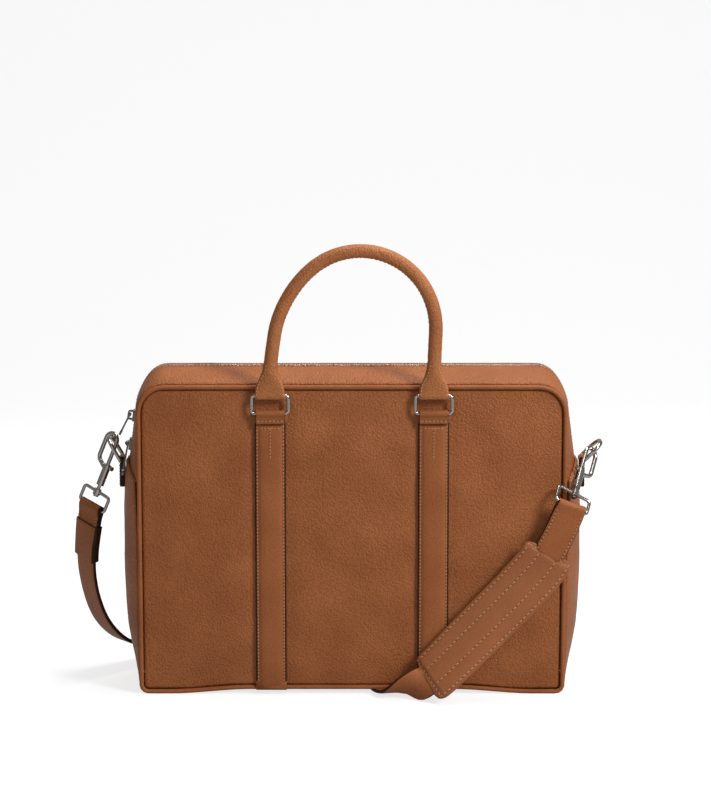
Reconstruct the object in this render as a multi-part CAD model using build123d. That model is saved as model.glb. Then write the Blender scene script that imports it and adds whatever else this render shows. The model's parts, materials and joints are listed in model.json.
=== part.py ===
from build123d import *
import math
import os

# Leather briefcase, millimetres. +X is the bag's right side seen from the front, +Y goes to the
# back and +Z is up. The origin is the middle of the footprint, on the surface it stands on.

# Body
HALF_W = 188.0            # half width of the front and back outlines, outside the piping
HALF_D = 45.0             # half depth between the two piping centre lines
HEIGHT = 276.0            # top of the front outline
TOP_R = 25.0              # upper corners of the outline
FOOT_R = 8.0              # lower corners of the outline
ARCH = 4.0                # how far the bottom lifts off the ground between its two ends
ARCH_IN = 100.0           # half length of the lifted stretch
ARCH_OUT = 150.0          # where the bottom meets the ground
LEATHER = 2.0
CROWN = 6.0               # how far the front and back panels swell in the middle
PANEL_Y = 44.0            # outer face of a panel at its edge
PIPE_R = 2.0
SEAM_Y = HALF_D - PIPE_R  # where gussets meet the piping

# Swell of the gussets past the outline, at mid depth
SIDE_SWELL = 13.5
ZIP_LOW_SWELL = 11.0
ZIP_HIGH_SWELL = 3.0
TOP_SWELL = 12.0
TAPER_Z = 85.0            # below this height the side swell fades out
ZIP_LOW_Z = 193.0
CORNER_Z = HEIGHT - TOP_R
OVERLAP = 2.15            # how far the side gusset stands over the end of the zip gusset

# Zip
ZIP_EDGE_Y = 4.0          # leather edges each side of the teeth
TEETH_Y = 2.5
TAPE_Y = 12.0
SLIDER_Z = (242.0, 216.5)

# Handles and vertical straps
STRAP_X = 71.0
STRAP_W = 27.0
STRAP_TOP = 243.0
WIRE_R = 1.5
FIT = 0.05                # running clearance of a bar in its loop
RING_Y = 51.6
RING_LOW_Z = 252.0
RING_H = 15.5
RING_W = 32.0
HANDLE_R = 6.0
CORE_R = 3.6
LEG_TOP_Z = 323.0
UPPER_BAR_Z = RING_LOW_Z + RING_H
HANDLE_LEAN = 2.5         # front handle, leaning outward
RING_FOLD = 35.0          # back rings turned outward, so that the back handle hangs down

# Side D rings
DRING_R = 1.75
DRING_HALF = 14.0
DRING_LEN = 22.25
DRING_X = 204.6
DRING_Z = 203.0
DRING_LEFT_TILT = 60.0
DRING_RIGHT_TILT = 44.0

# Snap hooks
BOW = 13.0
BOW_WIRE = 2.0
BOW_Z = 47.0
GATE_R = 1.8

# Shoulder strap
SHOULDER_W = 28.0
SHOULDER_T = 3.0
RING_DROP = 14.0          # from the hook's swivel to the bar that holds the strap
PAD_W = 46.0
PAD_T = 5.0
END_T = 5.0               # doubled leather at the ends of the strap
LEFT_END = 52.0
KEEPER = 34.0

os.makedirs("parts", exist_ok=True)


def save(shape, name):
    """Write one sub-part."""
    solids = shape.solids()
    whole = solids[0] if len(solids) == 1 else Compound(children=list(solids))
    export_step(whole, f"parts/{name}.step")


def back_of(shape):
    """The same piece on the back of the bag."""
    return mirror(shape, about=Plane.XZ)


def right_of(shape):
    """The same piece on the right side of the bag."""
    return mirror(shape, about=Plane.YZ)


def about_bar(shape, y, z, angle):
    """Turn a piece about a bar along X."""
    return Pos(0, y, z) * Rot(angle, 0, 0) * Pos(0, -y, -z) * shape


def smooth(value):
    """0 to 1 with flat ends."""
    value = min(max(value, 0.0), 1.0)
    return value * value * (3 - 2 * value)


# ---------------------------------------------------------------- outline and panels

def outline(inset, corner=TOP_R, foot=FOOT_R):
    """Closed front outline in X and Z, moved in by inset; the bottom edge is slightly arched."""
    w = HALF_W - inset
    points = [
        (-w, 0, inset), (-ARCH_OUT, 0, inset), (-ARCH_IN, 0, inset + ARCH),
        (ARCH_IN, 0, inset + ARCH), (ARCH_OUT, 0, inset), (w, 0, inset),
        (w, 0, HEIGHT - inset), (-w, 0, HEIGHT - inset),
    ]
    radii = [foot - inset, 300, 300, 300, 300, foot - inset, corner - inset, corner - inset]
    return FilletPolyline(*points, radius=radii, close=True)


def crown(x, z):
    """Swell of a panel at a point."""
    u = min(abs(x) / HALF_W, 1.0)
    v = min(abs(z - HEIGHT / 2) / (HEIGHT / 2), 1.0)
    return CROWN * (1 - u ** 4) * (1 - v ** 4)


def panel_sheet(gap, thickness):
    """Sheet that follows the swelling front, from gap to gap + thickness outside the panel's face."""
    columns = [HALF_W * 1.03 * i / 9 for i in range(-9, 10)]
    rows = [HEIGHT / 2 + HEIGHT * 0.52 * i / 7 for i in range(-7, 8)]
    grid = [[(x, -(PANEL_Y + crown(x, z) + gap + thickness), z) for z in rows] for x in columns]
    face = Face.make_surface_from_array_of_points(grid)
    return extrude(face, amount=thickness, dir=(0, 1, 0))


def prism(wire, low_y, high_y):
    """Solid with a flat outline in X and Z, between two depths."""
    face = Face(wire) if isinstance(wire, Wire) else make_face(wire)
    face = face.moved(Location((0, high_y, 0)))
    return extrude(face, amount=high_y - low_y, dir=(0, -1, 0))


def front_area(inset, corner=TOP_R, foot=FOOT_R):
    """Everything in front of the bag inside the outline."""
    return prism(outline(inset, corner, foot), -75, -20)


front_panel = panel_sheet(-LEATHER, LEATHER) & front_area(2 * PIPE_R + 0.2)
save(front_panel, "front_panel")
save(back_of(front_panel), "back_panel")

front_padding = panel_sheet(-LEATHER - 3.1, 3.0) & front_area(2 * PIPE_R + 3)
save(front_padding, "front_padding")
save(back_of(front_padding), "back_padding")


def piping():
    """Round piping sewn all round the front outline."""
    path = Wire(outline(PIPE_R).edges()).moved(Location((0, -HALF_D, 0)))
    start = path @ 0
    ring = Plane(origin=start, z_dir=path % 0) * Circle(PIPE_R)
    return sweep(ring, path=path)


front_piping = piping()
save(front_piping, "front_piping")
save(back_of(front_piping), "back_piping")

# ---------------------------------------------------------------- gussets and zip

def swell_at(z):
    """Swell of the side at mid depth, below the upper corner."""
    if z >= ZIP_LOW_Z:
        share = (z - ZIP_LOW_Z) / (CORNER_Z - ZIP_LOW_Z)
        return ZIP_LOW_SWELL + (ZIP_HIGH_SWELL - ZIP_LOW_SWELL) * share
    fade = 1 - (1 - min(z, TAPER_Z) / TAPER_Z) ** 2
    return SIDE_SWELL * fade + (ZIP_LOW_SWELL - SIDE_SWELL) * smooth((z - 130) / 55)


def corner_swell(angle):
    """Swell at mid depth round the upper corner, from the side (0) to the top (90 degrees)."""
    rise = math.sin(math.radians(angle)) ** 4
    return ZIP_HIGH_SWELL + (TOP_SWELL - ZIP_HIGH_SWELL) * rise


def across(y):
    """Share of the swell at a depth."""
    return 1 - (y / HALF_D) ** 2


def band(plane, swell, y_low, y_high, low, high):
    """Cross-section of a strip of the gusset: X of the plane is outward, Y is the bag's depth."""
    depths = [y_low + (y_high - y_low) * i / 6 for i in range(7)]
    outer = [(swell * across(y) + high, y) for y in depths]
    inner = [(swell * across(y) + low, y) for y in reversed(depths)]
    edges = [
        Spline(*outer), Line(outer[-1], inner[0]), Spline(*inner), Line(inner[-1], outer[0]),
    ]
    return plane * make_face(edges)


def side_plane(z):
    """Level section plane on the left side of the outline."""
    return Plane(origin=(-HALF_W, 0, z), x_dir=(-1, 0, 0), z_dir=(0, 0, -1))


def corner_plane(angle):
    """Section plane through the middle of the upper left corner."""
    turn = math.radians(angle)
    out = (-math.cos(turn), 0, math.sin(turn))
    along = (-math.sin(turn), 0, -math.cos(turn))
    middle = (-(HALF_W - TOP_R) + TOP_R * out[0], 0, CORNER_Z + TOP_R * out[2])
    return Plane(origin=middle, x_dir=out, z_dir=along)


def zip_strip(z_low, y_low, y_high, low, high):
    """Strip along the zip: up the left side, over the top and down the right side."""
    shape = (y_low, y_high, low, high)
    side = loft([band(side_plane(z), swell_at(z), *shape) for z in (z_low, CORNER_Z)], ruled=True)
    corner = loft([band(corner_plane(a), corner_swell(a), *shape) for a in range(0, 91, 10)])
    top = extrude(band(corner_plane(90), TOP_SWELL, *shape), amount=HALF_W - TOP_R, dir=(1, 0, 0))
    left = side + corner + top
    return left + right_of(left)


zip_gusset_front = zip_strip(ZIP_LOW_Z - 3, -SEAM_Y, -ZIP_EDGE_Y, -LEATHER, 0)
save(zip_gusset_front, "zip_gusset_front")
save(back_of(zip_gusset_front), "zip_gusset_back")

zip_tape_front = zip_strip(ZIP_LOW_Z + 3, -TAPE_Y, -TEETH_Y - 0.1, -LEATHER - 1.0, -LEATHER - 0.4)
save(zip_tape_front, "zip_tape_front")
save(back_of(zip_tape_front), "zip_tape_back")

zip_teeth_front = zip_strip(ZIP_LOW_Z + 3, -TEETH_Y, -0.15, -LEATHER - 0.7, -0.2)
save(zip_teeth_front, "zip_teeth_front")
save(back_of(zip_teeth_front), "zip_teeth_back")


def side_gusset():
    """Left side gusset, lying over the end of the zip gusset with an arched top edge."""
    depths = [(HALF_D + 1) * i / 5 for i in range(-5, 6)]
    heights = [-2 + 214 * i / 18 for i in range(19)]
    grid = [
        [
            (-(HALF_W + OVERLAP * smooth((z - 130) / 55) + swell_at(max(z, 0)) * across(y)), y, z)
            for z in heights
        ]
        for y in depths
    ]
    sheet = extrude(Face.make_surface_from_array_of_points(grid), amount=LEATHER, dir=(1, 0, 0))
    bottom = FOOT_R + 0.1
    edge = [
        Line((-240, -SEAM_Y, bottom), (-240, SEAM_Y, bottom)),
        Line((-240, SEAM_Y, bottom), (-240, SEAM_Y, ZIP_LOW_Z)),
        ThreePointArc((-240, SEAM_Y, ZIP_LOW_Z), (-240, 0, ZIP_LOW_Z + 12), (-240, -SEAM_Y, ZIP_LOW_Z)),
        Line((-240, -SEAM_Y, ZIP_LOW_Z), (-240, -SEAM_Y, bottom)),
    ]
    return sheet & extrude(make_face(edge), amount=80, dir=(1, 0, 0))


side_gusset_left = side_gusset()
save(side_gusset_left, "side_gusset_left")
save(right_of(side_gusset_left), "side_gusset_right")

below = Box(2 * HALF_W + 20, 4 * HALF_D, FOOT_R, align=(Align.CENTER, Align.CENTER, Align.MIN))
bottom_ring = prism(outline(0), -SEAM_Y, SEAM_Y) - prism(outline(LEATHER), -SEAM_Y, SEAM_Y)
save(bottom_ring & below, "bottom_gusset")

# ---------------------------------------------------------------- inside

FLOOR_Z = 9.0             # inner floor of the lining
LINING_X = 182.0
LINING_Y = 38.0
LINING_T = 0.8

base_board = Pos(0, 0, 7.4) * Box(2 * LINING_X - 12, 2 * LINING_Y - 4, 2.4)
save(fillet(base_board.edges().filter_by(Axis.Z), 6), "base_board")

bag = Pos(0, 0, FLOOR_Z) * Box(
    2 * LINING_X, 2 * LINING_Y, 252, align=(Align.CENTER, Align.CENTER, Align.MIN)
)
bag = fillet(bag.edges().filter_by(Axis.Z), 6)
hollow = Pos(0, 0, FLOOR_Z + LINING_T) * Box(
    2 * (LINING_X - LINING_T), 2 * (LINING_Y - LINING_T), 260, align=(Align.CENTER, Align.CENTER, Align.MIN)
)
hollow = fillet(hollow.edges().filter_by(Axis.Z), 6 - LINING_T)
save(bag - hollow, "lining")


def plate(low, high, corner=6.0):
    """Upright plate with rounded upper corners."""
    size = [b - a for a, b in zip(low, high)]
    body = Pos(*low) * Box(*size, align=(Align.MIN, Align.MIN, Align.MIN))
    upper = body.edges().filter_by(Axis.Y).sort_by(Axis.Z)[-2:]
    return fillet(upper, corner)


POCKET_Y = -LINING_Y + LINING_T
save(plate((-165, 13, FLOOR_Z + 1.5), (165, 18, 226), 14), "laptop_divider")
slip_pocket = plate((12, 10.6, FLOOR_Z + 8), (150, 12.4, 150))
save(slip_pocket + right_of(slip_pocket), "slip_pockets")
save(plate((-110, POCKET_Y + 0.2, 60), (110, POCKET_Y + 2, 186)), "zip_pocket_panel")
pocket_zip = Pos(0, POCKET_Y + 1.1, 193) * Box(200, 1.8, 10)
save(pocket_zip, "pocket_zip")

slider_start = -94.0
pocket_slider = Pos(slider_start, POCKET_Y + 4.3, 193) * Box(11, 3.6, 8)
pocket_slider = fillet(pocket_slider.edges().filter_by(Axis.Y), 2)
pocket_pull = Pos(slider_start, POCKET_Y + 4.9, 180) * Box(5, 1.6, 24)
save(pocket_slider + fillet(pocket_pull.edges().filter_by(Axis.Y), 2), "pocket_slider")

TAB_PIN_Y = LINING_Y - LINING_T - 3.2
TAB_PIN_Z = 236.0
tab_anchor = Pos(0, LINING_Y - LINING_T - 0.8, TAB_PIN_Z - 9) * Box(30, 1.4, 24)
save(tab_anchor, "laptop_tab_anchor")
tab_strap = Pos(0, TAB_PIN_Y - 15, TAB_PIN_Z) * Box(30, 30, 2.2)
tab_strap = fillet(tab_strap.edges().filter_by(Axis.Z).sort_by(Axis.Y)[:2], 8)
tab_roll = Pos(0, TAB_PIN_Y, TAB_PIN_Z) * Rot(0, 90, 0) * Cylinder(1.1, 30)
save(tab_strap + tab_roll, "laptop_tab")

# ---------------------------------------------------------------- vertical straps and handles

def vertical_strap(x):
    """Strap down the front panel: a flat backing with a raised, padded middle."""
    up = (Align.CENTER, Align.CENTER, Align.MIN)
    area = Pos(x, -50, 0.4) * Box(STRAP_W, 40, STRAP_TOP - 0.4, align=up)
    middle = Pos(x, -50, 0.4) * Box(19, 40, STRAP_TOP - 1.4, align=up)
    strap = (panel_sheet(0.05, 1.9) & area) + (panel_sheet(1.9, 1.6) & middle)
    arch = Pos(x, -50, 0) * Box(STRAP_W + 2, 60, ARCH + 0.2, align=up)
    groove = Pos(x, -HALF_D, ARCH + PIPE_R) * Rot(0, 90, 0) * Cylinder(PIPE_R + 0.05, STRAP_W + 4)
    over = Pos(x, -HALF_D + 5, 0) * Box(STRAP_W + 2, 10, ARCH + 2 * PIPE_R + 0.25, align=up)
    return strap - arch - groove - over


def loop_on_bar(x, y, z, outer, width, tail_low, tail_front, tail_back):
    """Leather folded round a bar along X, with a tail that hangs below it."""
    roll = Pos(x, y, z) * Rot(0, 90, 0) * Cylinder(outer, width)
    tail = Pos(x, (y - tail_front + y + tail_back) / 2, tail_low) * Box(
        width, tail_front + tail_back, z - tail_low, align=(Align.CENTER, Align.CENTER, Align.MIN)
    )
    hole = Pos(x, y, z) * Rot(0, 90, 0) * Cylinder(WIRE_R + FIT, width + 2)
    return roll + tail - hole


def handle_ring(x):
    """Rounded rectangular wire ring standing above the strap."""
    w = RING_W / 2
    corners = [
        (x - w, -RING_Y, RING_LOW_Z), (x + w, -RING_Y, RING_LOW_Z),
        (x + w, -RING_Y, RING_LOW_Z + RING_H), (x - w, -RING_Y, RING_LOW_Z + RING_H),
    ]
    path = FilletPolyline(*corners, radius=2.8, close=True)
    path = Wire(path.edges())
    return sweep(Plane(origin=path @ 0, z_dir=path % 0) * Circle(WIRE_R), path=path)


def handle_path(leg_low):
    """Middle line of the rolled handle."""
    low = Line((-STRAP_X, -RING_Y, leg_low), (-STRAP_X, -RING_Y, LEG_TOP_Z))
    arch = ThreePointArc(
        (-STRAP_X, -RING_Y, LEG_TOP_Z), (0, -RING_Y, LEG_TOP_Z + STRAP_X), (STRAP_X, -RING_Y, LEG_TOP_Z)
    )
    high = Line((STRAP_X, -RING_Y, LEG_TOP_Z), (STRAP_X, -RING_Y, leg_low))
    return Wire([low.edge(), arch.edge(), high.edge()])


def handle_foot(x):
    """Flared end of the handle, folded round the upper bar of the ring."""
    shape = [(1, 13.0, 3.2), (8, 12.0, 3.9), (17, 8.4, 5.6), (22, 7.0, 6.4), (31, 5.7, 5.6)]
    sections = [Pos(x, -RING_Y, UPPER_BAR_Z + z) * Ellipse(a, b) for z, a, b in shape]
    roll = Pos(x, -RING_Y, UPPER_BAR_Z) * Rot(0, 90, 0) * Cylinder(3.4, 26)
    hole = Pos(x, -RING_Y, UPPER_BAR_Z) * Rot(0, 90, 0) * Cylinder(WIRE_R + FIT, 30)
    return loft(sections) + roll - hole


def handle_cover():
    """Leather roll of one handle with both of its ends."""
    path = handle_path(UPPER_BAR_Z + 24)
    roll = sweep(Plane(origin=path @ 0, z_dir=path % 0) * Circle(HANDLE_R), path=path)
    return roll + handle_foot(-STRAP_X) + handle_foot(STRAP_X)


def hanging(shape):
    """The back handle's place: its rings turned outward and the handle plumb behind the bag."""
    turned = about_bar(back_of(shape), RING_Y, UPPER_BAR_Z, RING_FOLD - 180)
    return about_bar(turned, RING_Y, RING_LOW_Z, -RING_FOLD)


core_path = handle_path(UPPER_BAR_Z + 19)
handle_core = sweep(Plane(origin=core_path @ 0, z_dir=core_path % 0) * Circle(CORE_R), path=core_path)
handle = handle_cover() - handle_core
save(about_bar(handle, -RING_Y, UPPER_BAR_Z, HANDLE_LEAN), "handle_front")
save(hanging(handle), "handle_back")
save(about_bar(handle_core, -RING_Y, UPPER_BAR_Z, HANDLE_LEAN), "handle_core_front")
save(hanging(handle_core), "handle_core_back")

for side, x in (("left", -STRAP_X), ("right", STRAP_X)):
    strap = vertical_strap(x)
    loop = loop_on_bar(x, -RING_Y, RING_LOW_Z, 3.25, 25.0, STRAP_TOP + 0.1, 1.6, 3.25)
    ring = handle_ring(x)
    save(strap, f"strap_front_{side}")
    save(back_of(strap), f"strap_back_{side}")
    save(loop, f"ring_loop_front_{side}")
    save(back_of(loop), f"ring_loop_back_{side}")
    save(ring, f"ring_front_{side}")
    save(about_bar(back_of(ring), RING_Y, RING_LOW_Z, -RING_FOLD), f"ring_back_{side}")

# ---------------------------------------------------------------- zip sliders and pulls

def zip_direction():
    """Unit vector up the straight run of the zip on the left side."""
    run = Vector(ZIP_LOW_SWELL - ZIP_HIGH_SWELL, 0, CORNER_Z - ZIP_LOW_Z)
    return run.normalized()


def slider_place(z):
    """Frame on the left zip line: X outward, Z up the zip."""
    up = zip_direction()
    return Plane(origin=(-(HALF_W + swell_at(z)), 0, z), x_dir=(-up.Z, 0, up.X), z_dir=up)


PIN_OUT = 5.2             # bail pin of the upper slider, outside the zip line
STUD_OUT = 3.4            # middle of the pull on the lower slider's stud
UPPER_PULL = 20.5
LOWER_PULL = 35.0
UPPER_LEAN = 27.0         # from plumb, outward
LOWER_LEAN = 46.0         # from the zip line, to the front


def slider_plate():
    """Top plate of a slider with its two side flanges."""
    top = Pos(1.3, 0, 0) * Box(2.0, 8.4, 11.0)
    top = fillet(top.edges().filter_by(Axis.X), 2.5)
    flange = Pos(-0.6, 3.25, 0) * Box(2.2, 0.8, 8.0)
    return top + flange + mirror(flange, about=Plane.XZ)


def slider_with_bail():
    """Upper slider: a bail with a cross pin holds the pull."""
    bail = Pos(PIN_OUT - 1.0, 0, 0) * Box(5.6, 2.0, 9.0)
    bail = fillet(bail.edges().filter_by(Axis.Y).sort_by(Axis.X)[-2:], 2.6)
    window = Pos(PIN_OUT - 1.3, 0, 0) * Box(3.2, 3.0, 5.4)
    pin = Pos(PIN_OUT, 0, 0) * Rot(90, 0, 0) * Cylinder(0.5, 7.0)
    return slider_plate() + (bail - window) + pin


def slider_with_stud():
    """Lower slider: the pull turns on a headed stud."""
    stud = Pos(2.0, 0, 0) * Rot(0, 90, 0) * Cylinder(1.2, 4.2, align=(Align.CENTER, Align.CENTER, Align.MIN))
    head = Pos(STUD_OUT + 1.0, 0, 0) * Rot(0, 90, 0) * Cylinder(
        2.2, 0.8, align=(Align.CENTER, Align.CENTER, Align.MIN)
    )
    return slider_plate() + stud + head


def pull_shank(start, length, width, thickness, bulb_r):
    """Slim shank with a round end, hanging down from the origin."""
    down = (Align.CENTER, Align.CENTER, Align.MAX)
    shank = Pos(0, 0, -start) * Box(thickness, width, length - start - bulb_r, align=down)
    bulb = Pos(0, 0, -length + bulb_r) * Rot(0, 90, 0) * Cylinder(bulb_r, thickness + 0.5)
    return shank + bulb


def fork_pull():
    """Upper pull: a forked eye on the bail pin."""
    eye = Rot(90, 0, 0) * Cylinder(1.5, 6.4)
    fork = Pos(0, 0, -3.8) * Box(1.6, 6.4, 7.6)
    gap = Box(6, 2.8, 11.0)
    hole = Rot(90, 0, 0) * Cylinder(0.5 + FIT, 8)
    return eye + fork + pull_shank(7.0, UPPER_PULL, 4.0, 1.6, 2.6) - gap - hole


def stud_pull():
    """Lower pull: a flat eye on the stud."""
    eye = Rot(0, 90, 0) * Cylinder(3.0, 1.4)
    hole = Rot(0, 90, 0) * Cylinder(1.2 + FIT, 4)
    return eye + pull_shank(2.0, LOWER_PULL, 3.6, 1.4, 2.8) - hole


upper_place = slider_place(SLIDER_Z[0])
upper_pin = upper_place.from_local_coords(Vector(PIN_OUT, 0, 0))
save(upper_place.location * slider_with_bail(), "zip_slider_upper")
save(Pos(*upper_pin) * Rot(0, UPPER_LEAN, 0) * fork_pull(), "zip_pull_upper")

lower_place = slider_place(SLIDER_Z[1])
lower_pin = lower_place.from_local_coords(Vector(STUD_OUT, 0, 0))
save(lower_place.location * slider_with_stud(), "zip_slider_lower")
save(lower_place.location * Pos(STUD_OUT, 0, 0) * Rot(LOWER_LEAN, 0, 0) * stud_pull(), "zip_pull_lower")
print("upper pin", upper_pin, "lower stud", lower_pin, "zip", zip_direction())

# ---------------------------------------------------------------- D rings on the sides

def d_ring(tilt):
    """D ring on the left side, raised by tilt degrees from level."""
    flat = [
        (0, -DRING_HALF, 0), (0, DRING_HALF, 0), (-DRING_LEN, DRING_HALF, 0), (-DRING_LEN, -DRING_HALF, 0),
    ]
    path = FilletPolyline(*flat, radius=[3, 3, 10.5, 10.5], close=True)
    path = Wire(path.edges())
    ring = sweep(Plane(origin=path @ 0, z_dir=path % 0) * Circle(DRING_R), path=path)
    return Pos(-DRING_X, 0, DRING_Z) * Rot(0, tilt, 0) * ring


def d_ring_loop():
    """Leather loop that holds the left D ring, sewn to the side gusset."""
    roll = Pos(-DRING_X, 0, DRING_Z) * Rot(90, 0, 0) * Cylinder(DRING_R + FIT + 1.4, 15)
    tail = Pos(-DRING_X - 0.2, 0, DRING_Z - 24) * Box(2.8, 15, 24, align=(Align.CENTER, Align.CENTER, Align.MIN))
    hole = Pos(-DRING_X, 0, DRING_Z) * Rot(90, 0, 0) * Cylinder(DRING_R + FIT, 17)
    return roll + tail - hole


save(d_ring(DRING_LEFT_TILT), "d_ring_left")
save(right_of(d_ring(DRING_RIGHT_TILT)), "d_ring_right")
ring_loop = d_ring_loop()
save(ring_loop, "d_ring_loop_left")
save(right_of(ring_loop), "d_ring_loop_right")

# ---------------------------------------------------------------- snap hooks

def hook_frame():
    """Barrel and bow of a snap hook; Z runs from the swivel to the bow, the bow swells to +X."""
    up = (Align.CENTER, Align.CENTER, Align.MIN)
    stem = Pos(0, 0, -3.4) * Cylinder(1.6, 11.4, align=up)
    rivet = Pos(0, 0, -4.6) * Cylinder(2.4, 1.2, align=up)
    barrel = Pos(0, 0, 6.5) * Cylinder(3.5, 19.5, align=up)
    top = BOW_Z + BOW / 2
    points = [(2.6, 0, 22.5), (BOW, 0, 28), (BOW, 0, top), (0, 0, top), (0, 0, BOW_Z)]
    path = Wire(FilletPolyline(*points, radius=[6, BOW / 2 - 0.1, BOW / 2 - 0.1]).edges())
    wire = sweep(Plane(origin=path @ 0, z_dir=path % 0) * Circle(BOW_WIRE), path=path)
    bore = Pos(0, 0, 12) * Cylinder(GATE_R + FIT, 16, align=up)
    slot = Pos(-3, 0, 13.5) * Box(6, 1.8, 20, align=up)
    return stem + rivet + barrel + wire - bore - slot


def hook_gate():
    """Sliding gate pin with its thumb knob."""
    pin = Pos(0, 0, 22) * Cylinder(GATE_R, BOW_Z - 22.4, align=(Align.CENTER, Align.CENTER, Align.MIN))
    stem = Pos(-2.6, 0, 24.5) * Rot(0, 90, 0) * Cylinder(0.8, 4.4)
    knob = Pos(-5.6, 0, 24.5) * Rot(0, 90, 0) * Cylinder(2.0, 2.4)
    return pin + stem + knob


def hook_ring():
    """Rectangular strap ring with the boss that the hook swivels in; its long side is along Y."""
    half = RING_W / 2
    corners = [(0, -half, 0), (0, half, 0), (0, half, -RING_DROP), (0, -half, -RING_DROP)]
    path = Wire(FilletPolyline(*corners, radius=2.8, close=True).edges())
    ring = sweep(Plane(origin=path @ 0, z_dir=path % 0) * Circle(WIRE_R), path=path)
    boss = Pos(0, 0, -3.0) * Cylinder(3.4, 5.4, align=(Align.CENTER, Align.CENTER, Align.MIN))
    socket = Cylinder(1.6 + FIT, 12)
    return ring + boss - socket


def frame(origin, up, side):
    """Frame with Z along up and X as near as possible to side."""
    z = Vector(*up).normalized()
    return Plane(origin=origin, x_dir=side - z * side.dot(z), z_dir=z)


def ring_frame(origin, up, long_side):
    """Frame of a strap ring: Z along up and Y as near as possible to its long side."""
    z = Vector(*up).normalized()
    y = Vector(*long_side) - z * Vector(*long_side).dot(z)
    return Plane(origin=origin, x_dir=y.cross(z), z_dir=z)


def on_ring(side, tilt, along, y):
    """Point on the middle line of a D ring, and the direction out from the bag along its arm."""
    turn = math.radians(tilt)
    out = Vector(side * math.cos(turn), 0, math.sin(turn))
    return Vector(side * DRING_X, y, DRING_Z) + out * along, out


def hook_place(hold, wire, up, slack):
    """Origin and bow direction of a hook whose bow hangs from a wire at the point hold."""
    z = Vector(*up).normalized()
    x = z.cross(wire).normalized()
    drop = BOW_Z + BOW / 2 - BOW_WIRE - DRING_R - slack
    return hold - x * (BOW / 2) - z * drop, x


left_hold, left_out = on_ring(-1, DRING_LEFT_TILT, DRING_LEN - 3.08, DRING_HALF - 3.08)
right_hold, right_out = on_ring(1, DRING_RIGHT_TILT, 9.2, -DRING_HALF)
LEFT_UP, RIGHT_UP = (0.375, 0, 0.927), (0.27, 0.68, 0.68)
HOOKS = {
    "left": (*hook_place(left_hold, Vector(0, 1, 0) - left_out, LEFT_UP, 0.4), LEFT_UP, (0.674, -0.615, -0.41)),
    "right": (*hook_place(right_hold, right_out, RIGHT_UP, 1.7), RIGHT_UP, (0.845, 0.151, -0.503)),
}
RING_BAR = {}
for side, (origin, bow_side, up, long_side) in HOOKS.items():
    hook = frame(origin, up, bow_side)
    ring_place = ring_frame(origin, up, long_side)
    save(hook.location * hook_frame(), f"hook_{side}")
    save(hook.location * hook_gate(), f"hook_gate_{side}")
    save(ring_place.location * hook_ring(), f"hook_ring_{side}")
    RING_BAR[side] = (ring_place.from_local_coords(Vector(0, 0, -RING_DROP)), ring_place.y_dir)
    print(side, "ring bar", RING_BAR[side], "hook", origin, bow_side, hook.z_dir)

# ---------------------------------------------------------------- shoulder strap

# Middle line of the strap from the right ring to the left one, with the direction of its width:
# down the front to the ground, under the lifted bottom, a loop on edge behind the bag, and up
# the left side.
ROUTE = [
    ((190.3, -58.9, 171.4), (0.845, 0.15, -0.50)),
    ((175.0, -60.0, 131.0), (0.84, -0.05, -0.54)),
    ((149.0, -60.5, 100.0), (0.78, -0.20, -0.59)),
    ((117.0, -64.0, 68.0), (0.75, -0.30, -0.59)),
    ((89.0, -68.5, 40.0), (0.72, -0.44, -0.50)),
    ((66.0, -71.5, 17.5), (0.70, -0.55, -0.42)),
    ((49.0, -69.0, 7.2), (0.20, -0.95, -0.15)),
    ((35.0, -57.5, 2.0), (-0.72, -0.69, 0.0)),
    ((28.0, -28.0, 1.8), (-0.97, -0.20, 0.0)),
    ((24.0, 20.0, 1.8), (-0.99, -0.05, 0.0)),
    ((25.0, 66.0, 1.8), (-0.98, -0.05, 0.0)),
    ((36.0, 110.0, 12.8), (-0.74, 0.20, -0.60)),
    ((58.0, 152.0, 15.8), (0.0, 0.0, -1.0)),
    ((64.0, 202.0, 14.8), (0.0, 0.0, -1.0)),
    ((36.0, 243.0, 14.8), (0.0, 0.0, -1.0)),
    ((-12.0, 257.0, 14.8), (0.0, 0.0, -1.0)),
    ((-60.0, 238.0, 14.8), (0.0, 0.0, -1.0)),
    ((-86.0, 194.0, 15.0), (0.0, 0.1, -1.0)),
    ((-110.0, 146.0, 14.0), (-0.30, 0.45, -0.75)),
    ((-140.0, 106.0, 13.0), (-0.55, 0.70, -0.35)),
    ((-174.0, 78.0, 14.0), (-0.60, 0.76, -0.10)),
    ((-206.0, 51.0, 20.0), (-0.62, 0.78, 0.0)),
    ((-228.0, 33.0, 44.0), (-0.60, 0.80, 0.0)),
    ((-238.5, 22.0, 80.0), (-0.58, 0.80, 0.08)),
    ((-240.5, 14.0, 118.0), (-0.60, 0.75, 0.20)),
    ((-233.2, 6.9, 159.0), (-0.674, 0.615, 0.41)),
]
PAD_FROM, PAD_TO = 1, 5   # the pad covers the stretch between these points of the route


def strap_radii(points):
    """Bend radius at each inner point: as large as its two runs allow."""
    radii = []
    for before, here, after in zip(points, points[1:], points[2:]):
        first = Vector(*here) - Vector(*before)
        second = Vector(*after) - Vector(*here)
        turn = math.radians(first.get_angle(second))
        radii.append(0.45 * min(first.length, second.length) / math.tan(turn / 2))
    return radii


def width_at(point):
    """Direction of the strap's width beside a place, blended from the two nearest route points."""
    gaps = [((Vector(*place) - point).length, side) for place, side in ROUTE]
    gaps.sort(key=lambda item: item[0])
    (near, one), (far, two) = gaps[0], gaps[1]
    share = near / (near + far)
    return Vector(*one) * (1 - share) + Vector(*two) * share


def section(point, tangent, width, thickness):
    """Rectangular section of the strap."""
    across_dir = width_at(point)
    across_dir = (across_dir - tangent * across_dir.dot(tangent)).normalized()
    return Plane(origin=point, x_dir=across_dir, z_dir=tangent) * Rectangle(width, thickness)


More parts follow.
